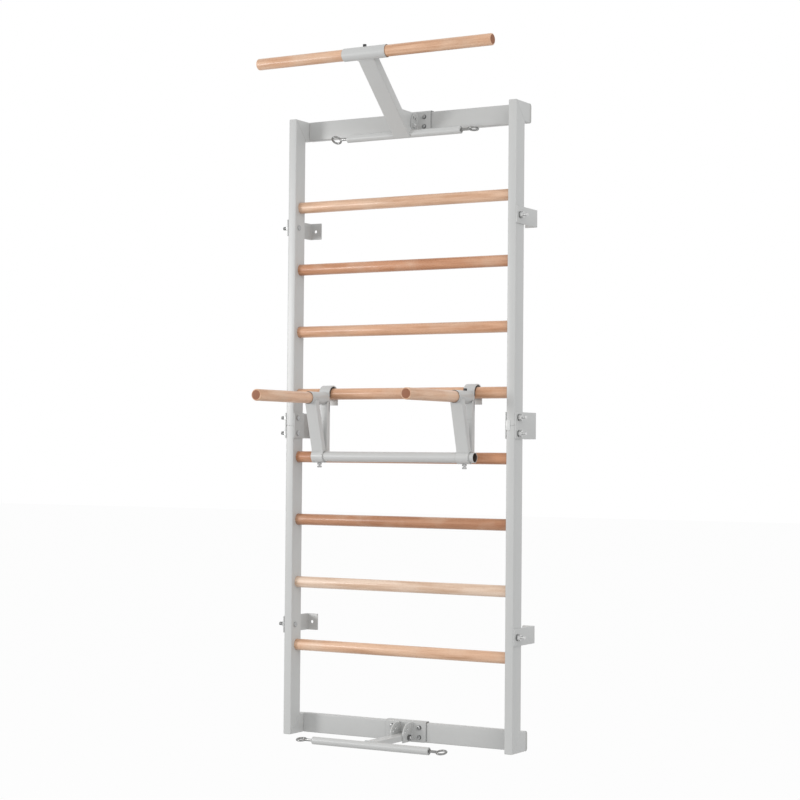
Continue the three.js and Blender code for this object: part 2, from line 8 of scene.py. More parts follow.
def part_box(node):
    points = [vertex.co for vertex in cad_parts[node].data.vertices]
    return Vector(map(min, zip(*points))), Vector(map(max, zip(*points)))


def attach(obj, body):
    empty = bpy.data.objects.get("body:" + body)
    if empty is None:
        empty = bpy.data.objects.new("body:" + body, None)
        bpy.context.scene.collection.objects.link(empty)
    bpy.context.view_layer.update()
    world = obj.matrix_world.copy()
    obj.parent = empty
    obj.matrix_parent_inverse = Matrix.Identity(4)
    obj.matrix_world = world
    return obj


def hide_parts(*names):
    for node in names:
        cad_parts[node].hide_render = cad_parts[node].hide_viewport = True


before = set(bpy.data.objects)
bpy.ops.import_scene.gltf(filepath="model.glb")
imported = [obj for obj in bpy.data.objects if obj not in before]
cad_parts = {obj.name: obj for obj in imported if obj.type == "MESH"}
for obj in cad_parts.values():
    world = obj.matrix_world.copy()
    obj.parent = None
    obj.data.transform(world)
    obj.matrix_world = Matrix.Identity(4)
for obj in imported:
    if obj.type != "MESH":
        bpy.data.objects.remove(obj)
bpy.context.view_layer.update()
print("frame loaded with", len(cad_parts), "nodes")


class Wire:  # one node socket, so that node maths reads as plain sums
    def __init__(self, socket):
        self.socket = socket
        self.tree = socket.id_data

    def node(self, kind, settings=None, sockets=None, output=0):
        made = self.tree.nodes.new(kind)
        for key, value in (settings or {}).items():
            if key == "stops":
                setStops(made.color_ramp, value)
            else:
                setattr(made, key, value)
        for key, value in (sockets or {}).items():
            if isinstance(value, Wire):
                self.tree.links.new(value.socket, made.inputs[key])
            else:
                made.inputs[key].default_value = value
        return Wire(made.outputs[output])

    def sums(self, operation, first, second):
        return self.node("ShaderNodeMath", {"operation": operation}, {0: first, 1: second})

    def __add__(self, other):
        return self.sums("ADD", self, other)

    def __rsub__(self, other):
        return self.sums("SUBTRACT", other, self)

    def __mul__(self, other):
        return self.sums("MULTIPLY", self, other)

    __radd__ = __add__
    __rmul__ = __mul__


def setStops(ramp, stops):
    while len(ramp.elements) < len(stops):
        ramp.elements.new(1)
    for element, (place, colour) in zip(ramp.elements, stops):
        element.position = place
        element.color = colour


def tone(red, green, blue):  # a colour as a screen shows it, 0 to 255
    parts = [value / 255 for value in (red, green, blue)]
    return tuple(v / 12.92 if v <= .04045 else ((v + .055) / 1.055) ** 2.4 for v in parts) + (1,)


def shaded(colour, factor):
    return tuple(value * factor for value in colour[:3]) + (1,)


# Finishes

def newFinish(name):
    material = bpy.data.materials.new(name)
    material.use_nodes = True
    place = Wire(material.node_tree.nodes.new("ShaderNodeTexCoord").outputs["Object"])
    return material, material.node_tree.nodes["Principled BSDF"], place


def feed(shader, values):
    for key, value in values.items():
        if isinstance(value, Wire):
            value.tree.links.new(value.socket, shader.inputs[key])
        else:
            shader.inputs[key].default_value = value


def noise(place, scale, detail=2, roughness=.5):
    sockets = {"Vector": place, "Scale": scale, "Detail": detail, "Roughness": roughness}
    return place.node("ShaderNodeTexNoise", {}, sockets)


def stretched(place, scale):
    return place.node("ShaderNodeMapping", {}, {"Vector": place, "Scale": scale})


def ramped(value, low, high):  # 0 below low, 1 above high
    stops = [(low, (0, 0, 0, 1)), (high, (1, 1, 1, 1))]
    return value.node("ShaderNodeValToRGB", {"stops": stops}, {"Fac": value})


def mixed(factor, first, second, blend="MIX"):
    settings = {"data_type": "RGBA", "blend_type": blend}
    return factor.node("ShaderNodeMix", settings, {0: factor, 6: first, 7: second}, 2)


def bumped(height, strength, distance):
    sockets = {"Strength": strength, "Distance": distance, "Height": height}
    return height.node("ShaderNodeBump", {}, sockets)


coat = {
    "colour": tone(204, 205, 204), "dark": .965, "light": 1.03, "speckDark": .93,
    "cloud": 7, "peel": 620, "speck": 2400, "rough": .24, "peelDepth": .00012,
}


# shade scales the coat's colour: below 1 it makes a copy with painted shade, above 1 a copy with painted
# highlight
def powderCoat(name, shade):
    material, shader, place = newFinish(name)
    cloud = noise(place, coat["cloud"], 3)
    peel = noise(place, coat["peel"])
    speck = noise(place, coat["speck"], 1)
    colour = shaded(coat["colour"], shade)
    veil = mixed(cloud, shaded(colour, coat["dark"]), shaded(colour, coat["light"]))
    grain = mixed(ramped(speck, .55, .75) * .35, veil, shaded(colour, coat["speckDark"]))
    feed(shader, {
        "Base Color": grain,
        "Roughness": coat["rough"] + cloud * .1 + peel * .06,
        "Normal": bumped(peel, .22, coat["peelDepth"]),
        "Specular IOR Level": .45,
    })
    return material


wood = {
    "tones": [  # from the palest rung to the darkest
        (0, tone(246, 221, 200)), (.25, tone(234, 191, 158)), (.6, tone(210, 153, 116)),
        (.8, tone(190, 138, 104)), (1, tone(156, 110, 81)),
    ],
    "bands": (4.5, 70), "fibres": (14, 520), "flecks": (170, 1100), "patches": (9, 16),
    "bandTint": (.66, .52, .4, 1), "fibreTint": (.8, .7, .6, 1), "fleckTint": (.68, .55, .45, 1),
    "patchTone": tone(236, 214, 192), "rough": .36, "gloss": .22, "glossRough": .18, "grainDepth": .0001,
}


def beech(name, scaleOf):  # scaleOf turns scales along and across the grain into a vector
    material, shader, place = newFinish(name)
    dose = place.node("ShaderNodeAttribute", {"attribute_name": "tone"}, {}, "Fac")
    clear = dose.node("ShaderNodeValToRGB", {"stops": wood["tones"]}, {"Fac": dose})

    def grain(part, detail, roughness=.5):
        return noise(stretched(place, scaleOf(*wood[part])), 1, detail, roughness)

    bands = grain("bands", 3)
    fibres = grain("fibres", 3, .65)
    flecks = grain("flecks", 1)
    patches = grain("patches", 2)
    warm = mixed(ramped(bands, .42, .66) * .7, clear, wood["bandTint"], "MULTIPLY")
    pale = mixed(ramped(patches, .5, .72) * .3, warm, wood["patchTone"])
    lined = mixed(ramped(fibres, .5, .7) * .5, pale, wood["fibreTint"], "MULTIPLY")
    flecked = mixed(ramped(flecks, .6, .7) * .55, lined, wood["fleckTint"], "MULTIPLY")
    feed(shader, {
        "Base Color": flecked,
        "Roughness": wood["rough"] + fibres * .12,
        "Coat Weight": wood["gloss"],
        "Coat Roughness": wood["glossRough"],
        "Normal": bumped(fibres + flecks * .5, .18, wood["grainDepth"]),
    })
    return material


sawnEnd = {
    "light": tone(158, 104, 74), "dark": tone(136, 84, 56), "poreTone": tone(108, 70, 50),
    "rings": 95, "pores": 1500, "rough": .55, "depth": .0001,
}


def beechEnd(name, wheel):  # growth rings and pores, about the axis that wheel names
    material, shader, place = newFinish(name)
    sockets = {"Vector": place, "Scale": sawnEnd["rings"], "Distortion": 2.5, "Detail": 2, "Detail Scale": .6}
    settings = {"wave_type": "RINGS", "rings_direction": wheel}
    rings = place.node("ShaderNodeTexWave", settings, sockets, "Fac")
    pores = noise(place, sawnEnd["pores"], 1)
    body = mixed(rings * .6, sawnEnd["light"], sawnEnd["dark"])
    feed(shader, {
        "Base Color": mixed(ramped(pores, .58, .7) * .6, body, sawnEnd["poreTone"]),
        "Roughness": sawnEnd["rough"] + pores * .15,
        "Normal": bumped(rings + pores, .2, sawnEnd["depth"]),
    })
    return material


plating = {"cloud": 160, "scratch": (300, 2200, 2200), "depth": .00005}


def zincPlate(name, dark, light, rough=.2):
    material, shader, place = newFinish(name)
    cloud = noise(place, plating["cloud"], 3)
    scratch = noise(stretched(place, plating["scratch"]), 1)
    feed(shader, {
        "Base Color": mixed(cloud, dark, light),
        "Metallic": 1.0,
        "Roughness": rough + cloud * .18 + scratch * .1,
        "Normal": bumped(scratch, .1, plating["depth"]),
    })
    return material


darkened = {"cloud": 45, "dark": .8, "light": 1.35, "depth": .0002}


def darkFinish(name, colour, rough, gritScale):
    material, shader, place = newFinish(name)
    cloud = noise(place, darkened["cloud"], 3)
    grit = noise(place, gritScale)
    feed(shader, {
        "Base Color": mixed(cloud, shaded(colour, darkened["dark"]), shaded(colour, darkened["light"])),
        "Roughness": rough + cloud * .12 + grit * .08,
        "Normal": bumped(grit, .3, darkened["depth"]),
    })
    return material


moulding = {
    "dark": tone(187, 187, 184), "light": tone(196, 196, 193), "cloud": 30, "grit": 1300,
    "rough": .5, "depth": .0001,
}


def mouldedCap(name):
    material, shader, place = newFinish(name)
    cloud = noise(place, moulding["cloud"])
    grit = noise(place, moulding["grit"])
    feed(shader, {
        "Base Color": mixed(cloud, moulding["dark"], moulding["light"]),
        "Roughness": moulding["rough"] + grit * .14,
        "Normal": bumped(grit, .3, moulding["depth"]),
    })
    return material


coatLight = powderCoat("powder_coat", 1)
# a darker copy of the coat: painted shade on the beams, which sit back behind the uprights
coatBeamShaded = powderCoat("beam_coat_painted_shade", .95)
# a slightly darker copy of the coat: painted shade on the wall brackets and seam bridges
coatBracketShaded = powderCoat("bracket_coat_painted_shade", .97)
# a darker copy of the coat: painted shade on the saddles, their ears and welds, and the upper pivot nut
coatSaddleShaded = powderCoat("saddle_coat_painted_shade", .92)
# a far darker copy of the coat: painted shadow for the dark line along the saddles' cut edges
coatEdgeShadow = powderCoat("cut_edge_painted_shadow", .3)
# a brighter copy of the coat: painted highlight on the seam clip
coatClipLit = powderCoat("clip_coat_painted_highlight", 1.25)
beechAcross = beech("beech_across", lambda along, across: (along, across, across))
beechForward = beech("beech_forward", lambda along, across: (across, along, across))
beechEndAcross = beechEnd("beech_end_across", "X")
beechEndForward = beechEnd("beech_end_forward", "Y")
zinc = zincPlate("zinc_plate", tone(152, 153, 154), tone(182, 182, 181))
# a darker copy of the zinc: painted shade on washers, the right bolt heads and the lower pivot nuts
zincShaded = zincPlate("zinc_painted_shade", tone(112, 113, 114), tone(138, 138, 137))
zincEye = zincPlate("zinc_eye", tone(118, 118, 118), tone(160, 160, 158), .07)
# a paler copy of the zinc: painted highlight on threads and on the right-hand nuts
zincLit = zincPlate("zinc_painted_highlight", tone(190, 191, 192), tone(222, 222, 220))
rubber = darkFinish("black_rubber", (.022, .022, .023, 1), .55, 900)
blackSteel = darkFinish("black_oxide", (.03, .03, .032, 1), .32, 1800)
# bare steel painted dark: partly painted shade for the dark insides of pipes and the rings at their mouths
bareSteelAndShade = darkFinish("bare_steel_and_painted_shade", tone(74, 64, 56), .6, 700)
capPlastic = mouldedCap("cap_plastic")
print("finishes made:", len(bpy.data.materials))


# Mesh helpers: loops of points are skinned, then gathered into one piece

def laid(along, d, u, v):  # d runs along the named axis, u and v across it
    return {"x": (d, u, v), "y": (u, d, v), "z": (u, v, d)}[along]


def around(centre, radius, turn):  # a point on a circle
    return centre[0] + radius * math.cos(turn), centre[1] + radius * math.sin(turn)


def arc(centre, radius, first, last, steps=8):
    angles = [first + (last - first) * i / steps for i in range(steps + 1)]
    return [around(centre, radius, math.radians(angle)) for angle in angles]


def chord(radius, off, least=0):  # half the chord of a circle, this far off its middle
    return math.sqrt(max(radius ** 2 - off ** 2, least))


def loft(loops, ring=False):
    solid = bmesh.new()
    rows = [[solid.verts.new(point) for point in loop] for loop in loops]
    count = len(rows[0])
    pairs = list(zip(rows, rows[1:]))
    if ring:
        pairs.append((rows[-1], rows[0]))
    for low, high in pairs:
        for i in range(count):
            j = (i + 1) % count
            solid.faces.new((low[i], low[j], high[j], high[i]))
    if not ring:
        solid.faces.new(rows[0])
        solid.faces.new(rows[-1])
    bmesh.ops.recalc_face_normals(solid, faces=solid.faces)
    return solid


def roundedRect(width, height, radius, steps=4, centre=(0, 0)):
    points = []
    for i, (sx, sy) in enumerate(((1, 1), (-1, 1), (-1, -1), (1, -1))):
        corner = (sx * (width / 2 - radius), sy * (height / 2 - radius))
        points += arc(corner, radius, 90 * i, 90 * (i + 1), steps)
    return [(u + centre[0], v + centre[1]) for u, v in points]


def rectTube(along, centre, size, ends, wall=.002, corner=.003, eases=(.0004, .0004)):
    least = .0005

    def loop(inset, end, shift):  # an end is a number, or a function of the place in the section
        inner = (size[0] - 2 * inset, size[1] - 2 * inset)
        points = []
        for u, v in roundedRect(*inner, max(corner - inset, least), centre=centre):
            d = end(u, v) if callable(end) else end
            points.append(laid(along, d + shift, u, v))
        return points

    low, high = ends
    lowEase, highEase = eases
    loops = [loop(lowEase, low, 0), loop(0, low, lowEase), loop(0, high, -highEase), loop(highEase, high, 0)]
    return loft(loops + [loop(wall, high, 0), loop(wall, low, 0)], ring=True)


def turned(along, centre, profile, sides=48, ring=False):  # profile of (place, radius)
    turns = [math.tau * i / sides for i in range(sides)]
    return loft([[laid(along, d, *around(centre, radius, t)) for t in turns] for d, radius in profile], ring)


def pipe(along, centre, outer, inner, low, high, ease=.0005, mouth=.0005, sides=64):  # mouth eases the bore
    profile = [
        (low, outer - ease), (low + ease, outer), (high - ease, outer), (high, outer - ease),
        (high, inner + mouth), (high - mouth, inner), (low + mouth, inner), (low, inner + mouth),
    ]
    return turned(along, centre, profile, sides, ring=True)


def roundBar(along, centre, radius, low, high, ease=.0005, sides=48, steps=1):
    lowEnd, highEnd = [], []
    for i in range(steps + 1):
        turn = math.radians(90 * i / steps)
        inset = ease * (1 - math.sin(turn))
        run = ease * (1 - math.cos(turn))
        lowEnd.append((low + run, radius - inset))
        highEnd.append((high - run, radius - inset))
    return turned(along, centre, lowEnd + highEnd[::-1], sides)


def borer(along, centre, radius, low, high, sides=32):  # cuts a round hole
    return roundBar(along, centre, radius, low, high, .0001, sides)


def hexagon(along, centre, flats, low, high, steps=36, chamferFrom=.97, chamferSlope=.58):
    reach = flats / 2
    turns = [math.tau * i / steps for i in range(steps)]
    corner = math.radians(30)
    spread = [reach / math.cos((turn + corner) % (2 * corner) - corner) for turn in turns]
    chamfer = [max(0, radius - reach * chamferFrom) for radius in spread]

    def loop(end, inward, full):
        points = []
        for turn, radius, cut in zip(turns, spread, chamfer):
            d = end + inward * (cut * chamferSlope if full else 0)
            points.append(laid(along, d, *around(centre, radius if full else radius - cut, turn)))
        return points

    return loft([loop(low, 1, False), loop(low, 1, True), loop(high, -1, True), loop(high, -1, False)])


def plate(along, outline, low, high, ease=.0006):
    solid = loft([[laid(along, d, u, v) for u, v in outline] for d in (low, high)])
    caps = [face for face in solid.faces if len(face.verts) == len(outline)]
    rims = list({edge for face in caps for edge in face.edges})
    settings = {"segments": 2, "profile": .5, "affect": "EDGES", "clamp_overlap": True}
    bmesh.ops.bevel(solid, geom=rims, offset=ease, **settings)
    return solid


def bentPath(corners, bend, tips=(0, 0), steps=6):  # rows of point, normal and narrowing
    points = [Vector(corner) for corner in corners]
    runs = [(b - a).normalized() for a, b in zip(points, points[1:])]
    normals = [Vector((-run.y, run.x)) for run in runs]

    def tip(end, run, normal, radius):
        turns = [math.radians(90 * i / steps) for i in range(steps + 1)] if radius else [0]
        return [(end + run * radius * (1 - math.cos(t)), normal, radius * (1 - math.sin(t))) for t in turns]

    rows = tip(points[0], runs[0], normals[0], tips[0])
    for i, corner in enumerate(points[1:-1]):
        half = runs[i].angle(runs[i + 1]) / 2
        side = 1 if runs[i].cross(runs[i + 1]) > 0 else -1
        centre = corner - runs[i] * bend * math.tan(half) + normals[i] * bend * side
        for step in range(steps + 1):
            normal = Matrix.Rotation(side * 2 * half * step / steps, 2) @ normals[i]
            rows.append((centre - normal * bend * side, normal, 0))
    return rows + tip(points[-1], -runs[-1], normals[-1], tips[1])[::-1]


def strip(along, mid, path, width, thickness, ease=.0006):  # sheet metal that follows a path
    loops = []
    for point, normal, narrowing in path:
        section = roundedRect(width - 2 * narrowing, thickness, ease, 2)
        loops.append([
            laid(along, mid + a, point.x + normal.x * b, point.y + normal.y * b) for a, b in section
        ])
    return loft(loops)


def levelRing(radius, wire, steps=56, sides=20):  # a closed ring of round wire about the origin
    loops = []
    for i in range(steps):
        turn = math.tau * i / steps
        out = Vector((math.cos(turn), math.sin(turn), 0))
        circle = [around((radius, 0), wire, math.tau * j / sides) for j in range(sides)]
        loops.append([out * reach + Vector((0, 0, height)) for reach, height in circle])
    return loft(loops, ring=True)


def moved(solid, matrix):
    solid.transform(matrix)
    return solid


def smoothed(mesh, sharpFrom=34):
    for polygon in mesh.polygons:
        polygon.use_smooth = True
    mesh.set_sharp_from_angle(angle=math.radians(sharpFrom))


def linked(name, data):
    piece = bpy.data.objects.new(name, data)
    bpy.context.scene.collection.objects.link(piece)
    return piece


def gathered(name, parts):  # parts are pairs of solid and finish
    mesh = bpy.data.meshes.new(name)
    whole = bmesh.new()
    for solid, finish in parts:
        if finish.name not in mesh.materials:
            mesh.materials.append(finish)
        for face in solid.faces:
            face.material_index = mesh.materials.find(finish.name)
        scrap = bpy.data.meshes.new("scrap")
        solid.to_mesh(scrap)
        solid.free()
        whole.from_mesh(scrap)
        bpy.data.meshes.remove(scrap)
    whole.to_mesh(mesh)
    whole.free()
    smoothed(mesh)
    return linked(name, mesh)


def meshOf(piece):  # the piece's mesh as a loose solid, and the piece is gone
    solid = bmesh.new()
    solid.from_mesh(piece.data)
    bpy.data.objects.remove(piece)
    return solid


def bareAndShadedBore(piece, along, centre, radius, low, high):  # the inside of a pipe is left bare steel and painted dark, partly painted shade for the dark bore and its mouth
    piece.data.materials.append(bareSteelAndShade)
    axis = Vector(laid(along, 0, *centre))
    line = Vector(laid(along, 1, 0, 0))
    slack = .0001
    for polygon in piece.data.polygons:
        out = polygon.center - axis
        run = out.dot(line)
        if low <= run <= high and (out - line * run).length < radius + slack:
            polygon.material_index = len(piece.data.materials) - 1


def settled(piece, modifier):  # what the modifier makes becomes the piece's own mesh
    depsgraph = bpy.context.evaluated_depsgraph_get()
    mesh = bpy.data.meshes.new_from_object(piece.evaluated_get(depsgraph))
    piece.modifiers.remove(modifier)
    piece.data = mesh
    smoothed(mesh)
    return piece


def carved(solid, cutters, finish):  # a solid with holes cut through it
    piece = gathered("blank", [(solid, finish)])
    tool = gathered("cutter", [(cutter, finish) for cutter in cutters])
    modifier = piece.modifiers.new("carve", "BOOLEAN")
    modifier.operation = "DIFFERENCE"
    modifier.solver = "EXACT"
    modifier.object = tool
    settled(piece, modifier)
    bpy.data.objects.remove(tool)
    return meshOf(piece)


def seated(piece, body, slotName, *nodes):
    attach(piece, body)
    if nodes:
        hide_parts(*nodes)
    return piece


def fitted(name, solid, finish, body, slotName, *nodes):  # a piece of one solid
    return seated(gathered(name, [(solid, finish)]), body, slotName, *nodes)


def boxOf(node):
    low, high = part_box(node)
    return Vector(low), Vector(high)


def middleOf(node):
    low, high = boxOf(node)
    return (low + high) / 2


# Geometry node trees

welding = {
    "bead": .0016, "ripple": .0032, "swell": .16, "stand": .0004, "spread": .0016, "sink": .0009,
}
screwThread = {"pitch": .0015, "ridge": .00062, "sink": .0005, "short": .0006}


def newTree(name, inputs):
    tree = bpy.data.node_groups.new(name, "GeometryNodeTree")
    sockets = [("Geometry", "NodeSocketGeometry")] + inputs
    for label, kind in sockets:
        tree.interface.new_socket(label, in_out="INPUT", socket_type=kind)
    tree.interface.new_socket("Geometry", in_out="OUTPUT", socket_type="NodeSocketGeometry")
    source = tree.nodes.new("NodeGroupInput")
    return tree, {label: Wire(source.outputs[label]) for label, _ in sockets}


def closeTree(tree, shape, finish):  # every tree ends in real geometry with its material
    real = shape.node("GeometryNodeRealizeInstances", {}, {"Geometry": shape})
    painted = real.node("GeometryNodeSetMaterial", {}, {"Geometry": real, "Material": finish})
    tree.links.new(painted.socket, tree.nodes.new("NodeGroupOutput").inputs[0])


def grown(piece, tree, values):
    modifier = piece.modifiers.new(tree.name, "NODES")
    modifier.node_group = tree
    for item in tree.interface.items_tree:
        if item.in_out == "INPUT" and item.name in values:
            modifier[item.identifier] = values[item.name]
    return settled(piece, modifier)


def pathPiece(name, paths):  # bare points and edges for a tree to grow on
    mesh = bpy.data.meshes.new(name)
    points, edges = [], []
    for path, closed in paths:
        start = len(points)
        points += path
        edges += [(start + i, start + i + 1) for i in range(len(path) - 1)]
        if closed:
            edges.append((start + len(path) - 1, start))
    mesh.from_pydata([tuple(point) for point in points], edges, [])
    return linked(name, mesh)


def pointPiece(name, points):
    return pathPiece(name, [([point], False) for point in points])


def makeThreadTree():  # a ridge that winds up a screw
    tree, ask = newTree("screw_thread", [
        ("Radius", "NodeSocketFloat"), ("Turns", "NodeSocketFloat"), ("Height", "NodeSocketFloat"),
        ("Ridge", "NodeSocketFloat"), ("Finish", "NodeSocketMaterial"),
    ])
    radius = ask["Radius"]
    coil = radius.node("GeometryNodeCurveSpiral", {}, {
        "Resolution": 20, "Rotations": ask["Turns"], "Start Radius": radius, "End Radius": radius,
        "Height": ask["Height"],
    })
    sockets = {"Resolution": 6, "Radius": ask["Ridge"]}
    ridge = radius.node("GeometryNodeCurvePrimitiveCircle", {}, sockets)
    sockets = {"Curve": coil, "Profile Curve": ridge, "Fill Caps": True}
    closeTree(tree, radius.node("GeometryNodeCurveToMesh", {}, sockets), ask["Finish"])
    return tree


def makeBeadTree():  # a rippled weld bead along a path
    tree, ask = newTree("weld_bead", [
        ("Bead", "NodeSocketFloat"), ("Ripple", "NodeSocketFloat"), ("Finish", "NodeSocketMaterial"),
    ])
    path = ask["Geometry"].node("GeometryNodeMeshToCurve", {}, {"Mesh": ask["Geometry"]})
    sockets = {"Curve": path, "Length": ask["Ripple"] * .2}  # five points to a ripple
    fine = path.node("GeometryNodeResampleCurve", {"mode": "LENGTH"}, sockets)
    run = path.node("GeometryNodeSplineParameter", {}, {}, "Length")
    phase = run.node("ShaderNodeMath", {"operation": "DIVIDE"}, {0: run * math.tau, 1: ask["Ripple"]})
    swell = 1 + phase.node("ShaderNodeMath", {"operation": "SINE"}, {0: phase}) * welding["swell"]
    ring = path.node("GeometryNodeCurvePrimitiveCircle", {}, {"Resolution": 10, "Radius": ask["Bead"]})
    sockets = {"Curve": fine, "Profile Curve": ring, "Scale": swell, "Fill Caps": True}
    closeTree(tree, path.node("GeometryNodeCurveToMesh", {}, sockets), ask["Finish"])
    return tree


def makeScatterTree():  # one fastener on every point
    tree, ask = newTree("fasteners", [("Fastener", "NodeSocketObject"), ("Finish", "NodeSocketMaterial")])
    model = ask["Fastener"].node("GeometryNodeObjectInfo", {}, {"Object": ask["Fastener"]}, "Geometry")
    sockets = {"Points": ask["Geometry"], "Instance": model}
    closeTree(tree, model.node("GeometryNodeInstanceOnPoints", {}, sockets), ask["Finish"])
    return tree


def makeRungTree(tones):  # rungs at an even pitch, each with its own tone of wood
    tree, ask = newTree("rungs", [
        ("Rung", "NodeSocketObject"), ("Count", "NodeSocketInt"), ("Top", "NodeSocketVector"),
        ("Pitch", "NodeSocketVector"), ("Finish", "NodeSocketMaterial"),
    ])
    count = ask["Count"]
    sockets = {"Count": count, "Start Location": ask["Top"], "Offset": ask["Pitch"]}
    line = count.node("GeometryNodeMeshLine", {}, sockets)
    model = count.node("GeometryNodeObjectInfo", {}, {"Object": ask["Rung"]}, "Geometry")
    copies = count.node("GeometryNodeInstanceOnPoints", {}, {"Points": line, "Instance": model})
    number = count.node("GeometryNodeInputIndex")
    choice = tree.nodes.new("GeometryNodeIndexSwitch")
    choice.data_type = "FLOAT"
    while len(choice.index_switch_items) < len(tones):
        choice.index_switch_items.new()
    tree.links.new(number.socket, choice.inputs["Index"])
    for i, value in enumerate(tones):
        choice.inputs[i + 1].default_value = value
    settings = {"data_type": "FLOAT", "domain": "INSTANCE"}
    sockets = {"Geometry": copies, "Name": "tone", "Value": Wire(choice.outputs[0])}
    closeTree(tree, count.node("GeometryNodeStoreNamedAttribute", settings, sockets), ask["Finish"])
    return tree


threadTree = makeThreadTree()
beadTree = makeBeadTree()
scatterTree = makeScatterTree()
upToRight = Matrix.Rotation(math.radians(90), 4, "Y")
print("trees made:", len(bpy.data.node_groups))


def welds(name, body, paths, finish):
    piece = pathPiece(name, paths)
    grown(piece, beadTree, {"Bead": welding["bead"], "Ripple": welding["ripple"], "Finish": finish})
    return seated(piece, body, "coated_steel")


def weldLoop(size, corner, pointOf):  # a closed path round a tube of this size
    outline = roundedRect(size[0] + welding["spread"], size[1] + welding["spread"], corner)
    return [pointOf(u, v) for u, v in outline], True


def threadOn(radius, length, matrix):  # a wound thread from the origin up its own axis, then placed
    piece = pointPiece("thread", [(0, 0, 0)])
    grown(piece, threadTree, {
        "Radius": radius - screwThread["ridge"] * .9, "Turns": length / screwThread["pitch"],
        "Height": length, "Ridge": screwThread["ridge"], "Finish": zinc,
    })
    solid = meshOf(piece)
    bmesh.ops.recalc_face_normals(solid, faces=solid.faces)
    return moved(solid, matrix)


def threadPast(nutEnd, tip, radius, place):  # a thread along x from a nut to the tip of its bolt
    start = Matrix.Translation((0, 0, nutEnd - screwThread["sink"]))
    return threadOn(radius, tip - nutEnd - screwThread["short"], place @ upToRight @ start)


def scattered(name, model, points, finish):
    piece = pointPiece(name, points)
    grown(piece, scatterTree, {"Fastener": model, "Finish": finish})
    bpy.data.objects.remove(model)
    return piece


# Wooden rungs
rungSet = {"count": 8, "ease": .002, "sides": 72, "tones": (.2, .58, .41, .35, .59, .775, 0, .22)}
rungLow, rungHigh = boxOf("rung_1")
rungRadius = (rungHigh.z - rungLow.z) / 2
rungTop = middleOf("rung_1")
rungBar = roundBar("x", (0, 0), rungRadius, rungLow.x, rungHigh.x, rungSet["ease"], rungSet["sides"], 3)
rungModel = gathered("rung_model", [(rungBar, beechAcross)])
rungs = pointPiece("rungs", [(0, 0, 0)])
grown(rungs, makeRungTree(rungSet["tones"]), {
    "Rung": rungModel, "Count": rungSet["count"], "Top": rungTop, "Pitch": middleOf("rung_2") - rungTop,
    "Finish": beechAcross,
})
bpy.data.objects.remove(rungModel)
rungNames = ["rung_" + str(i + 1) for i in range(rungSet["count"])]
seated(rungs, "frame", "beech", *rungNames)
rungMiddles = [middleOf(name) for name in rungNames]
print("rungs made:", rungSet["count"])

# Uprights in two halves, the stubs mitred to them and the moulded caps at their rear ends
ladder = {
    "wall": .002, "corner": .0035, "seamEase": .0012, "mitreEase": .0011, "mitreGap": .00015,
    "stubEase": .0006, "beamEase": .0005,
    "rungGap": .0004, "rungOver": .01, "boltHole": .0063, "boltOver": .008,
}
cap = {"depth": .012, "corner": .01, "ease": .0012, "plugGap": .0046, "plugEnd": -.01}
sides = (("left", -1), ("right", 1))  # with the sign of x
levels = ("upper", "lower")
boltNames = [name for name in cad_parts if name.startswith("bracket_bolt_")]


def boltHoles(side, low, high):  # cutters for the bracket bolts that pass between two corners
    places = [middleOf(name) for name in boltNames if side in name]
    inside = [place for place in places if low.z < place.z < high.z]
    ends = (low.x - ladder["boltOver"], high.x + ladder["boltOver"])
    return [borer("x", place.yz, ladder["boltHole"], *ends, 24) for place in inside]


for side, out in sides:
    for level, up in zip(levels, (1, -1)):
        suffix = level + "_" + side
        low, high = boxOf("upright_" + suffix)
        stubLow, stubHigh = boxOf("stub_" + suffix)
        seam = low.z if up > 0 else high.z
        end, foot = (stubHigh.z, stubLow.z)[::up]
        inner, outer = (low.x, high.x)[::out]
        slope = (end - foot) / (high.y - low.y)

        def mitreHeight(x, y):
            return end - (y - low.y) * slope - up * ladder["mitreGap"]

        def mitreDepth(x, z):
            return low.y + (end - z) / slope + ladder["mitreGap"]

        ends = (seam, mitreHeight)[::up]
        eases = (ladder["seamEase"], ladder["mitreEase"])[::up]
        middle, size = (low + high) / 2, high - low
        tube = rectTube("z", middle.xy, size.xy, ends, ladder["wall"], ladder["corner"], eases)
        reach = sorted((inner - out * ladder["rungOver"], outer - out * ladder["wall"]))
        holeRadius = rungRadius + ladder["rungGap"]
        inside = [place for place in rungMiddles if low.z < place.z < high.z]
        holes = [borer("x", place.yz, holeRadius, *reach, rungSet["sides"]) for place in inside]
        solid = carved(tube, holes + boltHoles(side, low, high), coatLight)
        fitted("upright_tube_" + suffix, solid, coatLight, "frame", "coated_steel", "upright_" + suffix)

        middle = (stubLow + stubHigh) / 2
        size = (stubHigh.x - stubLow.x, stubHigh.z - stubLow.z)
        eases = (ladder["mitreEase"], ladder["stubEase"])
        ends = (mitreDepth, stubHigh.y)
        tube = rectTube("y", middle.xz, size, ends, ladder["wall"], ladder["corner"], eases)
        fitted("stub_tube_" + suffix, tube, coatLight, "frame", "coated_steel", "stub_" + suffix)

        corner = cap["corner"]
        outline = [(-cap["depth"], stubLow.z)]
        outline += arc((-corner, stubLow.z + corner), corner, -90, 0)
        outline += arc((-corner, stubHigh.z - corner), corner, 0, 90)
        outline.append((-cap["depth"], stubHigh.z))
        cover = plate("x", outline, stubLow.x, stubHigh.x, cap["ease"])
        plugSize = [length - cap["plugGap"] for length in size]
        plug = rectTube("y", middle.xz, plugSize, (boxOf("end_cap_" + suffix)[0].y, cap["plugEnd"]))
        moulded = gathered("end_cap_moulded_" + suffix, [(cover, capPlastic), (plug, capPlastic)])
        seated(moulded, "frame", "cap_plastic", "end_cap_" + suffix)

    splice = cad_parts["splice_" + side]
    splice.data.materials.clear()
    splice.data.materials.append(zinc)

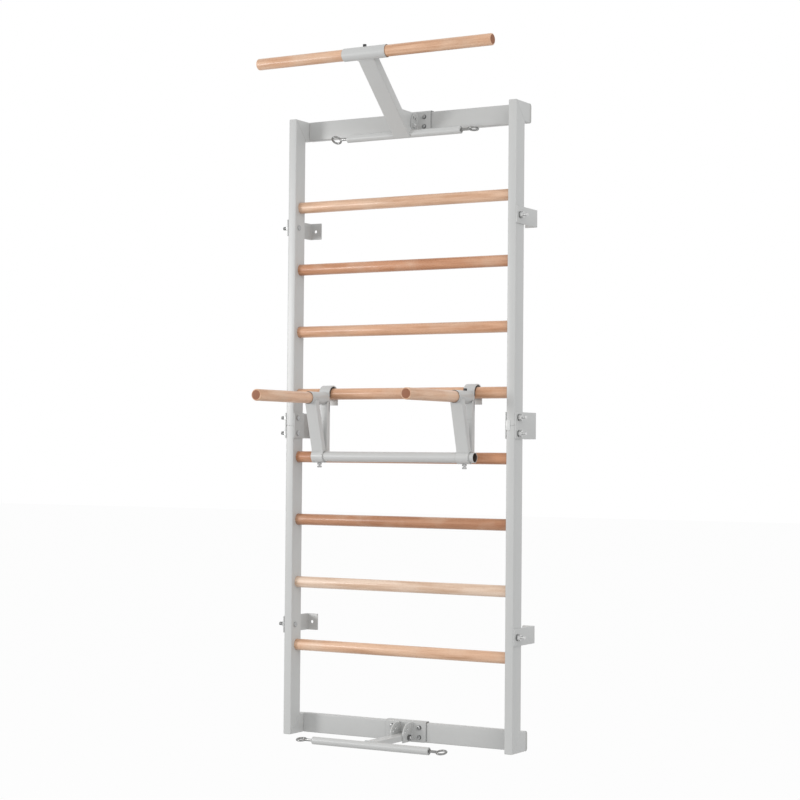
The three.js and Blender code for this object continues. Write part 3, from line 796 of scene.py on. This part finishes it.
for level in levels:
    low, high = boxOf("beam_" + level)
    middle = (low + high) / 2
    size = (high.y - low.y, high.z - low.z)
    eases = (ladder["beamEase"], ladder["beamEase"])
    tube = rectTube("x", middle.yz, size, (low.x, high.x), ladder["wall"], ladder["corner"], eases)
    # the beams take the darker copy of the coat, painted shade
    fitted("beam_tube_" + level, tube, coatBeamShaded, "frame", "coated_steel", "beam_" + level)
print("uprights, stubs, caps and beams made")

# Wall brackets: a cheek outside the upright, bent in behind it to a foot on the wall
bracket = {"plate": .004, "bend": .0032, "tip": .002, "screwHole": .0055, "screwIn": .0225, "screwOver": .01}
for side, out in sides:
    for place in ("upper", "middle", "lower"):
        name = "wall_bracket_" + place + "_" + side
        low, high = boxOf(name)
        mid = (low.z + high.z) / 2
        inner, outer = (low.x, high.x)[::out]
        cheek = outer - out * bracket["plate"] / 2
        foot = high.y - bracket["plate"] / 2
        corners = [(cheek, low.y), (cheek, foot), (inner, foot)]
        path = bentPath(corners, bracket["bend"], (bracket["tip"], bracket["tip"]))
        screw = (outer - out * bracket["screwIn"], mid)
        ends = (foot - bracket["screwOver"], foot + bracket["screwOver"])
        holes = [borer("y", screw, bracket["screwHole"], *ends)]
        holes += boltHoles(side, Vector((outer, low.y, low.z)), Vector((outer, high.y, high.z)))
        # the bracket is drawn in the darker copy of the coat, painted shade
        solid = carved(strip("z", mid, path, high.z - low.z, bracket["plate"]), holes, coatBracketShaded)
        fitted("bracket_" + place + "_" + side, solid, coatBracketShaded, "frame", "bracket_steel", name)

    low, high = boxOf("seam_plate_" + side)
    middle, size = (low + high) / 2, high - low
    outline = roundedRect(size.y, size.z, bracket["tip"], centre=middle.yz)
    # the seam bridge takes the same painted shade
    solid = carved(plate("x", outline, low.x, high.x), boltHoles(side, low, high), coatBracketShaded)
    fitted("seam_bridge_" + side, solid, coatBracketShaded, "frame", "coated_steel", "seam_plate_" + side)

# Bracket bolts: a low head on the inner side, washer, nut and thread on the outer side
boltSet = {
    "core": .0052, "coreEase": .0012, "radius": .006, "flats": .019, "nut": .010,
    "head": .0035, "headRadius": .009, "headEase": .0015,
    "washer": .011, "washerPlate": .0025, "washerEase": .0004,
}
uprightLow, uprightHigh = boxOf("upright_upper_right")
uprightX = (uprightLow.x + uprightHigh.x) / 2
uprightHalf = (uprightHigh.x - uprightLow.x) / 2
boltTip = boxOf("bracket_bolt_upper_right")[1].x - uprightX


def bracketBolt(innerPlate, turn):  # drawn about the middle of a right upright, then turned
    headSeat = -uprightHalf - innerPlate
    headTop = headSeat - boltSet["head"]
    outerSeat = uprightHalf + bracket["plate"]
    nutSeat = outerSeat + boltSet["washerPlate"]
    nutEnd = nutSeat + boltSet["nut"]
    plain = [
        roundBar("x", (0, 0), boltSet["headRadius"], headTop, headSeat, boltSet["headEase"], 40, 3),
        roundBar("x", (0, 0), boltSet["washer"], outerSeat, nutSeat, boltSet["washerEase"], 40),
    ]
    threaded = [
        hexagon("x", (0, 0), boltSet["flats"], nutSeat, nutEnd),
        roundBar("x", (0, 0), boltSet["core"], headSeat, boltTip, boltSet["coreEase"], 32, 2),
        threadPast(nutEnd, boltTip, boltSet["radius"], Matrix.Identity(4)),
    ]
    return [[(moved(solid, turn), zinc) for solid in group] for group in (plain, threaded)]


# on the right the heads and washers are painted in shade and the nuts and threads are painted highlight; the
# left keeps plain zinc
for (side, out), finishes in zip(sides, ((zinc, zinc), (zincShaded, zincLit))):
    turn = Matrix.Rotation(math.pi if out < 0 else 0, 4, "Z")
    for key, innerPlate in (("outer", 0), ("middle", bracket["plate"])):
        names = [name for name in boltNames if side in name and ("middle" in name) == (key == "middle")]
        points = [(out * uprightX, *middleOf(name).yz) for name in names]
        plain, threaded = bracketBolt(innerPlate, turn)
        label = "_" + key + "_" + side
        heads = scattered("bracket_heads" + label, gathered("heads_model", plain), points, finishes[0])
        seated(heads, "frame", "zinc_steel", *names)
        nuts = scattered("bracket_nuts" + label, gathered("nuts_model", threaded), points, finishes[1])
        seated(nuts, "frame", "zinc_steel")

# A small clip over the seam, at the inner edge of the right upright's front, in a brighter copy of the coat:
# a painted highlight
clip = {"width": .015, "height": .034, "corner": .005, "proud": .002, "sink": .0005, "ease": .0008}
middle = (uprightLow.x + clip["width"] / 2 - clip["sink"], uprightLow.z)
outline = roundedRect(clip["width"], clip["height"], clip["corner"], centre=middle)
solid = plate("y", outline, uprightLow.y - clip["proud"], uprightLow.y + clip["sink"], clip["ease"])
fitted("seam_clip", solid, coatClipLit, "frame", "coated_steel")
print("brackets made, bolts:", len(boltNames))

# Saddles with their ears, pivot bolts and the bolts that hold them on the beams
saddleSet = {
    "half": .0765, "plate": .004, "bend": .005, "tips": (.006, .003), "edgeBand": .0003,
    "ear": .005, "earIn": .0205, "earRise": .0025, "earCorner": .038, "lockHole": .0045,
    "pivotReach": .026, "pivotRise": .0175, "boltX": .052, "boltZ": .016, "weldIn": (.008, .004),
    "upper": {"earReach": .038, "lockRadius": .026, "lockAngles": (60, 92.5)},
    "lower": {"earReach": .060, "lockRadius": .029, "lockAngles": (104, 136.5)},
}
pivotSet = {
    "hole": .0053, "through": (-.03, .03), "core": .0048, "headIn": .001, "flats": .017, "nut": .008,
    "thread": .005, "threadCore": .0043,
}
plateBolts = []
saddleWelds = []
# the upper pivot nuts take the saddle's painted shade, the lower ones the zinc painted in shade
for level, nutFinish in zip(levels, (coatSaddleShaded, zincShaded)):
    beamLow, beamHigh = boxOf("beam_" + level)
    foot, top = beamLow.z, beamHigh.z
    front = beamLow.y - saddleSet["plate"]
    faceY = beamLow.y - saddleSet["plate"] / 2
    lipY = boxOf("saddle_" + level)[1].y
    lipZ = top + saddleSet["plate"] / 2
    path = bentPath([(faceY, foot), (faceY, lipZ), (lipY, lipZ)], saddleSet["bend"], saddleSet["tips"])
    # the saddle is drawn in the darker copy of the coat, painted shade
    parts = [(strip("x", 0, path, 2 * saddleSet["half"], saddleSet["plate"]), coatSaddleShaded)]

    ears = saddleSet[level]
    earFront = front - ears["earReach"]
    earFoot = foot + saddleSet["earRise"]
    corner = saddleSet["earCorner"]
    outline = [(beamLow.y, earFoot), (beamLow.y, top)]
    outline += arc((earFront + corner, top - corner), corner, 90, 180, 16)
    outline.append((earFront, earFoot))
    earIn = saddleSet["earIn"]
    earOut = earIn + saddleSet["ear"]
    pivot = (front - saddleSet["pivotReach"], foot + saddleSet["pivotRise"])
    places = [(pivot, pivotSet["hole"])]
    for angle in ears["lockAngles"]:
        places.append((around(pivot, ears["lockRadius"], math.radians(angle)), saddleSet["lockHole"]))
    for ends in ((earIn, earOut), (-earOut, -earIn)):
        holes = [borer("x", place, radius, *pivotSet["through"]) for place, radius in places]
        parts.append((carved(plate("x", outline, *ends), holes, coatSaddleShaded), coatSaddleShaded))
    saddle = gathered("saddle_plate_" + level, parts)
    saddle.data.materials.append(coatEdgeShadow)
    for polygon in saddle.data.polygons:  # the cut sides of the sheet are painted much darker, a painted shadow line along the plate's edges
        if abs(polygon.center.x) > saddleSet["half"] - saddleSet["edgeBand"]:
            polygon.material_index = 1
    seated(saddle, "frame", "bracket_steel", "saddle_" + level)

    middle = (foot + top) / 2
    for x in (-saddleSet["boltX"], saddleSet["boltX"]):
        for z in (middle - saddleSet["boltZ"], middle + saddleSet["boltZ"]):
            plateBolts.append((x, front, z))
    weldLow, weldHigh = saddleSet["weldIn"]
    for x in (-earOut, earOut):
        saddleWelds.append(([(x, front, foot + weldLow), (x, front, top - weldHigh)], False))

    boltLow, boltHigh = boxOf("pivot_bolt_" + level)
    nutEnd = earOut + pivotSet["nut"]
    headSide = boltLow.x + pivotSet["headIn"]
    # the pivot's thread is painted highlight
    parts = [
        (roundBar("x", pivot, pivotSet["core"], headSide, earOut, .0003, 32), zinc),
        (roundBar("x", pivot, pivotSet["threadCore"], 0, boltHigh.x, .001, 32, 2), zincLit),
        (hexagon("x", pivot, pivotSet["flats"], boltLow.x, -earOut), nutFinish),
        (hexagon("x", pivot, pivotSet["flats"], earOut, nutEnd), nutFinish),
        (threadPast(nutEnd, boltHigh.x, pivotSet["thread"], Matrix.Translation((0, *pivot))), zincLit),
    ]
    seated(gathered("pivot_screw_" + level, parts), "frame", "zinc_steel", "pivot_bolt_" + level)

plateBolt = {"washer": .0075, "washerPlate": .0014, "sink": .001, "flats": .011, "head": .005}
washerTop = -plateBolt["washerPlate"]
washer = roundBar("y", (0, 0), plateBolt["washer"], washerTop, plateBolt["sink"], .0003, 36)
head = hexagon("y", (0, 0), plateBolt["flats"], washerTop - plateBolt["head"], washerTop)
# the washers are painted in shade
for label, solid, finish in (("washers", washer, zincShaded), ("bolts", head, zinc)):
    model = gathered("fastener_model", [(solid, finish)])
    seated(scattered("plate_" + label, model, plateBolts, finish), "frame", "zinc_steel")
# the saddle welds take the same painted shade
welds("saddle_welds", "frame", saddleWelds, coatSaddleShaded)
print("saddles made, plate bolts:", len(plateBolts))


# Band tubes: a pipe with a plug turned into each end
bandSet = {
    "half": .217, "radius": .0125, "wall": .002, "ease": .0006,
    "plugIn": .0008, "plugDeep": .025, "plugGap": .0002, "plugEase": .0012,
}


def bandTube(place):
    half = bandSet["half"]
    inner = bandSet["radius"] - bandSet["wall"]
    parts = [(pipe("x", place, bandSet["radius"], inner, -half, half, bandSet["ease"]), coatLight)]
    face, tail = half - bandSet["plugIn"], half - bandSet["plugDeep"]
    for ends in ((-face, -tail), (tail, face)):
        plug = roundBar("x", place, inner - bandSet["plugGap"], *ends, bandSet["plugEase"], 48, 2)
        parts.append((plug, coatLight))
    return parts


# Upper boom: drawn upright about its pivot, then tilted
boomSet = {
    "tilt": 47.4, "width": .060, "thickness": .030, "clear": .0052, "length": .332, "corner": .003,
    "sleeveHalf": .080, "sleeveOuter": .0212, "sleeveInner": .0194, "sleeveEase": .0004, "sleeveMouth": .0013,
    "tongue": .004, "tongueOut": .020, "tongueRise": .045, "tongueDrop": .022, "tongueRear": .016,
    "tongueSink": .001, "tongueWeld": (.03, .9), "screwX": -.004,
}
tilt = math.radians(boomSet["tilt"])
rise, run = math.sin(tilt), math.cos(tilt)
boomPivot = middleOf("pivot_bolt_upper")
boomPlace = Matrix.Translation((0, boomPivot.y, boomPivot.z)) @ Matrix.Rotation(tilt, 4, "X")
earForward = saddleSet["upper"]["earReach"] - saddleSet["pivotReach"]
earBelow = saddleSet["pivotRise"] - saddleSet["earRise"]
boomOffset = earForward * run + earBelow * rise + boomSet["clear"]
boomMid = -(boomOffset + boomSet["thickness"] / 2)
boomSize = (boomSet["width"], boomSet["thickness"])
boomBand = middleOf("eye_upper_left").yz
footLevel = boomBand[1] - bandSet["radius"] - boomPivot.z
boomFoot = (footLevel + (boomOffset + boomSet["thickness"]) * rise) / run


def boomHead(x, y):  # cut to the round of the sleeve
    return boomSet["length"] - chord(boomSet["sleeveOuter"] - welding["sink"], y - boomMid)


def sleeveWeld(x, y):
    head = boomSet["length"] - chord(boomSet["sleeveOuter"] + welding["stand"], y)
    return boomPlace @ Vector((x, y + boomMid, head))


boomTube = rectTube("z", (0, boomMid), boomSize, (boomFoot, boomHead), corner=boomSet["corner"])
sleevePlace = (boomMid, boomSet["length"])
sleeveEnds = (-boomSet["sleeveHalf"], boomSet["sleeveHalf"])
sleeve = pipe("x", sleevePlace, boomSet["sleeveOuter"], boomSet["sleeveInner"], *sleeveEnds,
              boomSet["sleeveEase"], boomSet["sleeveMouth"])
parts = [(moved(boomTube, boomPlace), coatLight), (moved(sleeve, boomPlace), coatLight)]

tongueLine = []
for z in (boomSet["tongueRise"], -boomSet["tongueDrop"]):
    tongueLine.append((-(boomOffset + boomSet["tongueSink"] + z * rise) / run, z))
rear = boomSet["tongueRear"]
tongueLine += [(0, -boomSet["tongueDrop"]), (rear, -rear), (rear, boomSet["tongueRise"])]
tongueLine = [(y + boomPivot.y, z + boomPivot.z) for y, z in tongueLine]
tongueOut = boomSet["tongueOut"]
tongueIn = tongueOut - boomSet["tongue"]
for ends in ((tongueIn, tongueOut), (-tongueOut, -tongueIn)):
    hole = borer("x", boomPivot.yz, pivotSet["hole"], *pivotSet["through"])
    parts.append((carved(plate("x", tongueLine, *ends), [hole], coatLight), coatLight))
boom = gathered("boom_welded", parts + bandTube(boomBand))
sleeveMid = boomPlace @ Vector((0, *sleevePlace))
boreRadius = boomSet["sleeveInner"] + boomSet["sleeveMouth"] / 2
# the sleeve's bore and mouth are painted dark, partly painted shade
bareAndShadedBore(boom, "x", sleeveMid.yz, boreRadius, *sleeveEnds)
seated(boom, "boom", "coated_steel", "pull_up_boom")

boomWelds = [weldLoop(boomSize, boomSet["corner"], sleeveWeld)]
for x in (-tongueOut - welding["stand"], tongueOut + welding["stand"]):
    high, low = [Vector((x, *point)) for point in tongueLine[:2]]
    boomWelds.append(([high + (low - high) * share for share in boomSet["tongueWeld"]], False))
welds("boom_welds", "boom", boomWelds, coatLight)

# Socket set screws that stand proud on the sleeves
screwSet = {
    "radius": .006, "boomHeight": .0075, "gripHeight": .007, "sink": .002, "ease": .0008,
    "socket": .0024, "socketEase": .0004, "deep": .003,
}


def setScrew(place, height):
    x, y, z = place
    top, radius, socket = z + height, screwSet["radius"], screwSet["socket"]
    profile = [
        (z - screwSet["sink"], radius), (top - screwSet["ease"], radius), (top, radius - screwSet["ease"]),
        (top, socket + screwSet["socketEase"]), (top - screwSet["socketEase"], socket),
        (top - screwSet["deep"], socket),
    ]
    return turned("z", (x, y), profile, 24)


place = (boomSet["screwX"], sleeveMid.y, sleeveMid.z + boomSet["sleeveOuter"])
fitted("boom_set_screw", setScrew(place, screwSet["boomHeight"]), blackSteel, "boom", "zinc_steel")

# Wooden grips: the pull-up bar here, the handles with the dip unit
gripSet = {"ease": .0036, "barTone": .27, "handleTone": .21}


def woodBar(name, along, place, radius, ends, dose, faceFinish, endFinish):
    bar = gathered(name, [(roundBar(along, place, radius, *ends, gripSet["ease"], 72, 5), faceFinish)])
    bar.data.materials.append(endFinish)
    for polygon in bar.data.polygons:
        if len(polygon.vertices) > 4:  # only the two end faces have more than four corners
            polygon.material_index = 1
    values = bar.data.attributes.new("tone", "FLOAT", "POINT")
    values.data.foreach_set("value", [dose] * len(bar.data.vertices))
    return bar


low, high = boxOf("pull_up_bar")
bar = woodBar("pull_up_beech", "x", middleOf("pull_up_bar").yz, (high.z - low.z) / 2, (low.x, high.x),
              gripSet["barTone"], beechAcross, beechEndAcross)
seated(bar, "boom", "beech", "pull_up_bar")
print("boom made")

# Lower arm
armSet = {"width": .040, "thickness": .020, "corner": .003, "sink": .0008, "weldLeast": .000004}
armSize = (armSet["width"], armSet["thickness"])
armPivot = middleOf("pivot_bolt_lower").yz
armBand = middleOf("eye_lower_left").yz


def armFront(x, z):  # cut to the round of the band tube
    return armBand[0] + chord(bandSet["radius"] - armSet["sink"], z - armBand[1])


def armWeld(x, z):
    level = z + armPivot[1]
    out = chord(bandSet["radius"] + welding["stand"], level - armBand[1], armSet["weldLeast"])
    return x, armBand[0] + out, level


ends = (armFront, boxOf("band_arm")[1].y)
arm = rectTube("y", (0, armPivot[1]), armSize, ends, corner=armSet["corner"])
hole = borer("x", armPivot, pivotSet["hole"], *pivotSet["through"])
parts = [(carved(arm, [hole], coatLight), coatLight)] + bandTube(armBand)
seated(gathered("arm_welded", parts), "lower_arm", "coated_steel", "band_arm")
welds("arm_welds", "lower_arm", [weldLoop(armSize, armSet["corner"], armWeld)], coatLight)
print("arm made")

# Closed eyes that swivel in the plugs
eyeSet = {
    "wire": .0034, "ring": .0156, "shank": .0044, "shankEase": .0012,
    "collarFlats": .0126, "collarWidth": .004, "gap": .0003,
    "turns": {"upper_left": -37, "upper_right": -9, "lower_left": 8, "lower_right": 14},
}
for key, angle in eyeSet["turns"].items():
    sign = -1 if "left" in key else 1
    node = "eye_" + key
    low, high = boxOf(node)
    place = middleOf(node).yz
    inEnd, tip = (low.x, high.x)[::sign]
    ringX = tip - sign * (eyeSet["ring"] + eyeSet["wire"])
    shank = sorted((inEnd, ringX - sign * eyeSet["ring"]))
    root = sign * (bandSet["half"] + eyeSet["gap"])
    collar = sorted((root, root + sign * eyeSet["collarWidth"]))
    hang = Matrix.Translation((ringX, *place)) @ Matrix.Rotation(math.radians(angle), 4, "X")
    parts = [
        (moved(levelRing(eyeSet["ring"], eyeSet["wire"]), hang), zincEye),
        (roundBar("x", place, eyeSet["shank"], *shank, eyeSet["shankEase"], 32, 3), zincEye),
        (hexagon("x", place, eyeSet["collarFlats"], *collar), zincEye),
    ]
    seated(gathered("eye_bolt_" + key, parts), node + "_body", "zinc_steel", node)
print("eyes made:", len(eyeSet["turns"]))

# Dip unit: two hooks with legs, handles, liners, and the tube across
dipSet = {
    "gripOuter": .0212, "gripInner": .0194, "gripEase": .0004, "gripMouth": .0013,
    "gripGap": .0005, "gripBareAndShade": .006,
    "strap": .040, "strapPlate": .004, "strapIn": .025, "lip": .038, "frontDrop": .024,
    "frontLeg": (.045, .020), "rearLeg": (.040, .020), "legCorner": .003, "legClear": .001,
    "legTilt": 15.6, "legGap": .006, "rearFoot": .012, "weldLeast": .00001,
    "collarHalf": .0225, "collarInner": .01715, "collarEase": .0007, "crossWall": .002,
    "stop": .011, "stopIn": .0195, "stopGap": .0003, "stopEase": .002, "screwBack": .027,
    "linerIn": .0193, "linerPlate": .0054, "linerDrop": .010, "linerEase": .001,
}
lockSet = {
    "hole": .0043, "holeDeep": (-.03, -.012), "core": .0034, "coreIn": .002, "thread": .004, "short": .001,
    "flats": .013, "head": .006, "nut": .0065,
}
lean = math.radians(dipSet["legTilt"])
dipWelds = []
crossLow, crossHigh = boxOf("cross_tube")
crossMid = (crossLow + crossHigh) / 2
hookMid = rungMiddles[3]
gripOuter = dipSet["gripOuter"]
gripSeat = gripOuter - welding["sink"]
weldRadius = gripOuter + welding["stand"]


def hookPath(radius, frontDrop, rearDrop, steps=28):  # over the rung, from its rear to its front
    rows = [(Vector((radius, -rearDrop)), Vector((1, 0)), 0)]
    for step in range(steps + 1):
        turn = math.pi * step / steps
        normal = Vector((math.cos(turn), math.sin(turn)))
        rows.append((normal * radius, normal, 0))
    rows.append((Vector((-radius, -frontDrop)), Vector((-1, 0)), 0))
    return [(point + hookMid.yz, normal, narrowing) for point, normal, narrowing in rows]


for side, _ in sides:
    handleLow, handleHigh = boxOf("dip_handle_" + side)
    x, _, axisZ = (handleLow + handleHigh) / 2
    strapMid = dipSet["strapIn"] + dipSet["strapPlate"] / 2
    frontDrop = hookMid.z - axisZ + gripOuter + dipSet["frontDrop"]
    path = hookPath(strapMid, frontDrop, dipSet["lip"])
    strap = strip("x", x, path, dipSet["strap"], dipSet["strapPlate"])
    gripLow, gripHigh = boxOf("dip_bracket_" + side)[0].y, hookMid.y - dipSet["strapIn"]
    grip = pipe("y", (x, axisZ), gripOuter, dipSet["gripInner"], gripLow, gripHigh - dipSet["gripGap"],
                dipSet["gripEase"], dipSet["gripMouth"])
    collarEnds = (x - dipSet["collarHalf"], x + dipSet["collarHalf"])
    collar = pipe("x", crossMid.yz, gripOuter, dipSet["collarInner"], *collarEnds, dipSet["collarEase"])
    holeEnds = [crossMid.z + depth for depth in lockSet["holeDeep"]]
    collar = carved(collar, [borer("z", (x, crossMid.y), lockSet["hole"], *holeEnds, 24)], coatLight)

    def rearTop(u, v):  # the rear leg hangs on the strap, just clear of the sleeve
        return axisZ - chord(gripSeat, u - x) - dipSet["legGap"]

    def legTop(u, v, radius=gripSeat, least=0):  # where the leaning leg meets the round of the sleeve
        return (axisZ - chord(radius, u, least) - crossMid.z - v * math.sin(lean)) / math.cos(lean)

    def legFoot(u, v, radius=gripSeat):
        return chord(radius, v)

    def topWeld(u, v):
        return legPlace @ Vector((u, v, legTop(u, v, weldRadius, dipSet["weldLeast"])))

    def footWeld(u, v):
        return legPlace @ Vector((u, v, legFoot(u, v, weldRadius)))

    rearY = hookMid.y - rungRadius - dipSet["legClear"] - dipSet["rearLeg"][1] / 2
    rearLeg = rectTube("z", (x, rearY), dipSet["rearLeg"], (crossMid.z + dipSet["rearFoot"], rearTop))
    frontLeg = rectTube("z", (0, 0), dipSet["frontLeg"], (legFoot, legTop))
    legPlace = Matrix.Translation((x, crossMid.y, crossMid.z)) @ Matrix.Rotation(lean, 4, "X")
    parts = [(solid, coatLight) for solid in (strap, grip, collar, rearLeg, moved(frontLeg, legPlace))]
    hook = gathered("dip_hook_" + side, parts)
    boreRadius = dipSet["gripInner"] + dipSet["gripMouth"] / 2
    # the grip sleeve's bore and mouth are painted dark, partly painted shade
    bareAndShadedBore(hook, "y", (x, axisZ), boreRadius, gripLow, gripHigh - dipSet["gripBareAndShade"])
    seated(hook, "dip_unit", "coated_steel", "dip_bracket_" + side)
    for pointOf in (topWeld, footWeld):
        dipWelds.append(weldLoop(dipSet["frontLeg"], dipSet["legCorner"], pointOf))

    stopEnds = (crossMid.y + dipSet["stopIn"], rungMiddles[4].y - rungRadius - dipSet["stopGap"])
    stop = roundBar("y", (x, crossMid.z), dipSet["stop"], *stopEnds, dipSet["stopEase"], 40, 4)
    fitted("rung_stop_" + side, stop, rubber, "dip_unit", "black_rubber")
    handleRadius = (handleHigh.x - handleLow.x) / 2
    handle = woodBar("handle_beech_" + side, "y", (x, axisZ), handleRadius, (handleLow.y, handleHigh.y),
                     gripSet["handleTone"], beechForward, beechEndForward)
    seated(handle, "dip_unit", "beech", "dip_handle_" + side)
    linerMid = dipSet["linerIn"] + dipSet["linerPlate"] / 2
    path = hookPath(linerMid, dipSet["linerDrop"], dipSet["linerDrop"])
    liner = strip("x", x, path, dipSet["strap"], dipSet["linerPlate"], dipSet["linerEase"])
    fitted("hook_pad_" + side, liner, rubber, "dip_unit", "black_rubber", "hook_liner_" + side)

    screwLow, screwHigh = boxOf("lock_screw_" + side)
    place = (x, crossMid.y)
    headTop = screwLow.z + lockSet["head"]
    nutSeat = crossMid.z - gripOuter
    threadLength = screwHigh.z - headTop - lockSet["short"]
    # the lock bolt's thread is painted highlight
    parts = [
        (roundBar("z", place, lockSet["core"], screwLow.z + lockSet["coreIn"], screwHigh.z, .0006, 32), zinc),
        (hexagon("z", place, lockSet["flats"], screwLow.z, headTop), zinc),
        (hexagon("z", place, lockSet["flats"], nutSeat - lockSet["nut"], nutSeat), zinc),
        (threadOn(lockSet["thread"], threadLength, Matrix.Translation((*place, headTop))), zincLit),
    ]
    seated(gathered("lock_bolt_" + side, parts), "dip_unit", "zinc_steel", "lock_screw_" + side)

# The loop ends on the right, and only that sleeve has a set screw
place = (x, gripHigh - dipSet["screwBack"], axisZ + gripOuter)
fitted("dip_set_screw", setScrew(place, screwSet["gripHeight"]), blackSteel, "dip_unit", "zinc_steel")
welds("dip_welds", "dip_unit", dipWelds, coatLight)
crossRadius = (crossHigh.z - crossLow.z) / 2
crossInner = crossRadius - dipSet["crossWall"]
cross = pipe("x", crossMid.yz, crossRadius, crossInner, crossLow.x, crossHigh.x)
crossPipe = gathered("cross_pipe", [(cross, coatLight)])
# the cross pipe's bore is painted dark, partly painted shade
bareAndShadedBore(crossPipe, "x", crossMid.yz, crossInner, crossLow.x, crossHigh.x)
seated(crossPipe, "dip_unit", "coated_steel", "cross_tube")
print("dip unit made")

# Floor, light and camera
studio = {
    "floorZ": -.30, "floorSize": 60, "floorGrey": .6, "floorLift": .965, "skyLight": .68,
    "target": (0, -.06, 1.05),
    "key": {"place": (-3.0, -3.4, 1.5), "size": 1.1, "power": 60},
    "fill": {"place": (4.2, -3.4, 3.0), "size": 3.5, "power": 71},
}
white = (1, 1, 1, 1)


def cameraSeen(tree):  # 1 where a camera, mirror or glass ray looks
    path = tree.nodes.new("ShaderNodeLightPath")
    rays = ("Is Camera Ray", "Is Glossy Ray", "Is Transmission Ray")
    camera, glossy, through = [Wire(path.outputs[name]) for name in rays]
    total = camera + glossy + through
    return total.node("ShaderNodeMath", {"operation": "MINIMUM"}, {0: total, 1: 1})


half = studio["floorSize"] / 2
corners = [(-half, -half), (half, -half), (half, half), (-half, half)]
floorMesh = bpy.data.meshes.new("floor")
floorMesh.from_pydata([(x, y, studio["floorZ"]) for x, y in corners], [], [(0, 1, 2, 3)])
floor = linked("floor", floorMesh)
floorPaint, shader, place = newFinish("floor_white")
feed(shader, {"Base Color": shaded(white, studio["floorGrey"]), "Roughness": .9, "Specular IOR Level": .1})
glow = place.node("ShaderNodeEmission", {}, {"Color": white, "Strength": 1})
lift = cameraSeen(floorPaint.node_tree) * studio["floorLift"]
blended = lift.node("ShaderNodeMixShader", {}, {0: lift, 1: Wire(shader.outputs[0]), 2: glow})
surface = floorPaint.node_tree.nodes["Material Output"].inputs["Surface"]
floorPaint.node_tree.links.new(blended.socket, surface)
floorMesh.materials.append(floorPaint)

sky = bpy.data.worlds.new("sky")
sky.use_nodes = True
bpy.context.scene.world = sky
seen = cameraSeen(sky.node_tree)
feed(sky.node_tree.nodes["Background"], {
    "Color": white, "Strength": seen + (1 - seen) * studio["skyLight"],
})

for name in ("key", "fill"):
    lamp = bpy.data.lights.new(name, "AREA")
    lamp.size = studio[name]["size"]
    lamp.energy = studio[name]["power"]
    holder = linked(name, lamp)
    holder.location = studio[name]["place"]
    line = Vector(studio["target"]) - holder.location
    holder.rotation_euler = line.to_track_quat("-Z", "Y").to_euler()

shot = {
    "aim": (-.019196, -.0522, 1.100484), "azimuth": 29.9155, "pitch": -1.6003, "roll": .4842,
    "distance": 6.55365, "lens": 88.5285,
}
azimuth, pitch, roll = [math.radians(shot[key]) for key in ("azimuth", "pitch", "roll")]
level = math.cos(pitch)
back = Vector((math.sin(azimuth) * level, -math.cos(azimuth) * level, math.sin(pitch)))
across = (-back).cross(Vector((0, 0, 1))).normalized()
upward = across.cross(-back)
right = across * math.cos(roll) + upward * math.sin(roll)
top = upward * math.cos(roll) - across * math.sin(roll)
camera = bpy.data.cameras.new("camera")
camera.sensor_width = 36
camera.lens = shot["lens"]
eye = linked("camera", camera)
turn = Matrix((right, top, back)).transposed()
eye.matrix_world = Matrix.Translation(Vector(shot["aim"]) + back * shot["distance"]) @ turn.to_4x4()
bpy.context.scene.camera = eye
bpy.context.scene.view_settings.view_transform = "Standard"
print("floor, light and camera set")
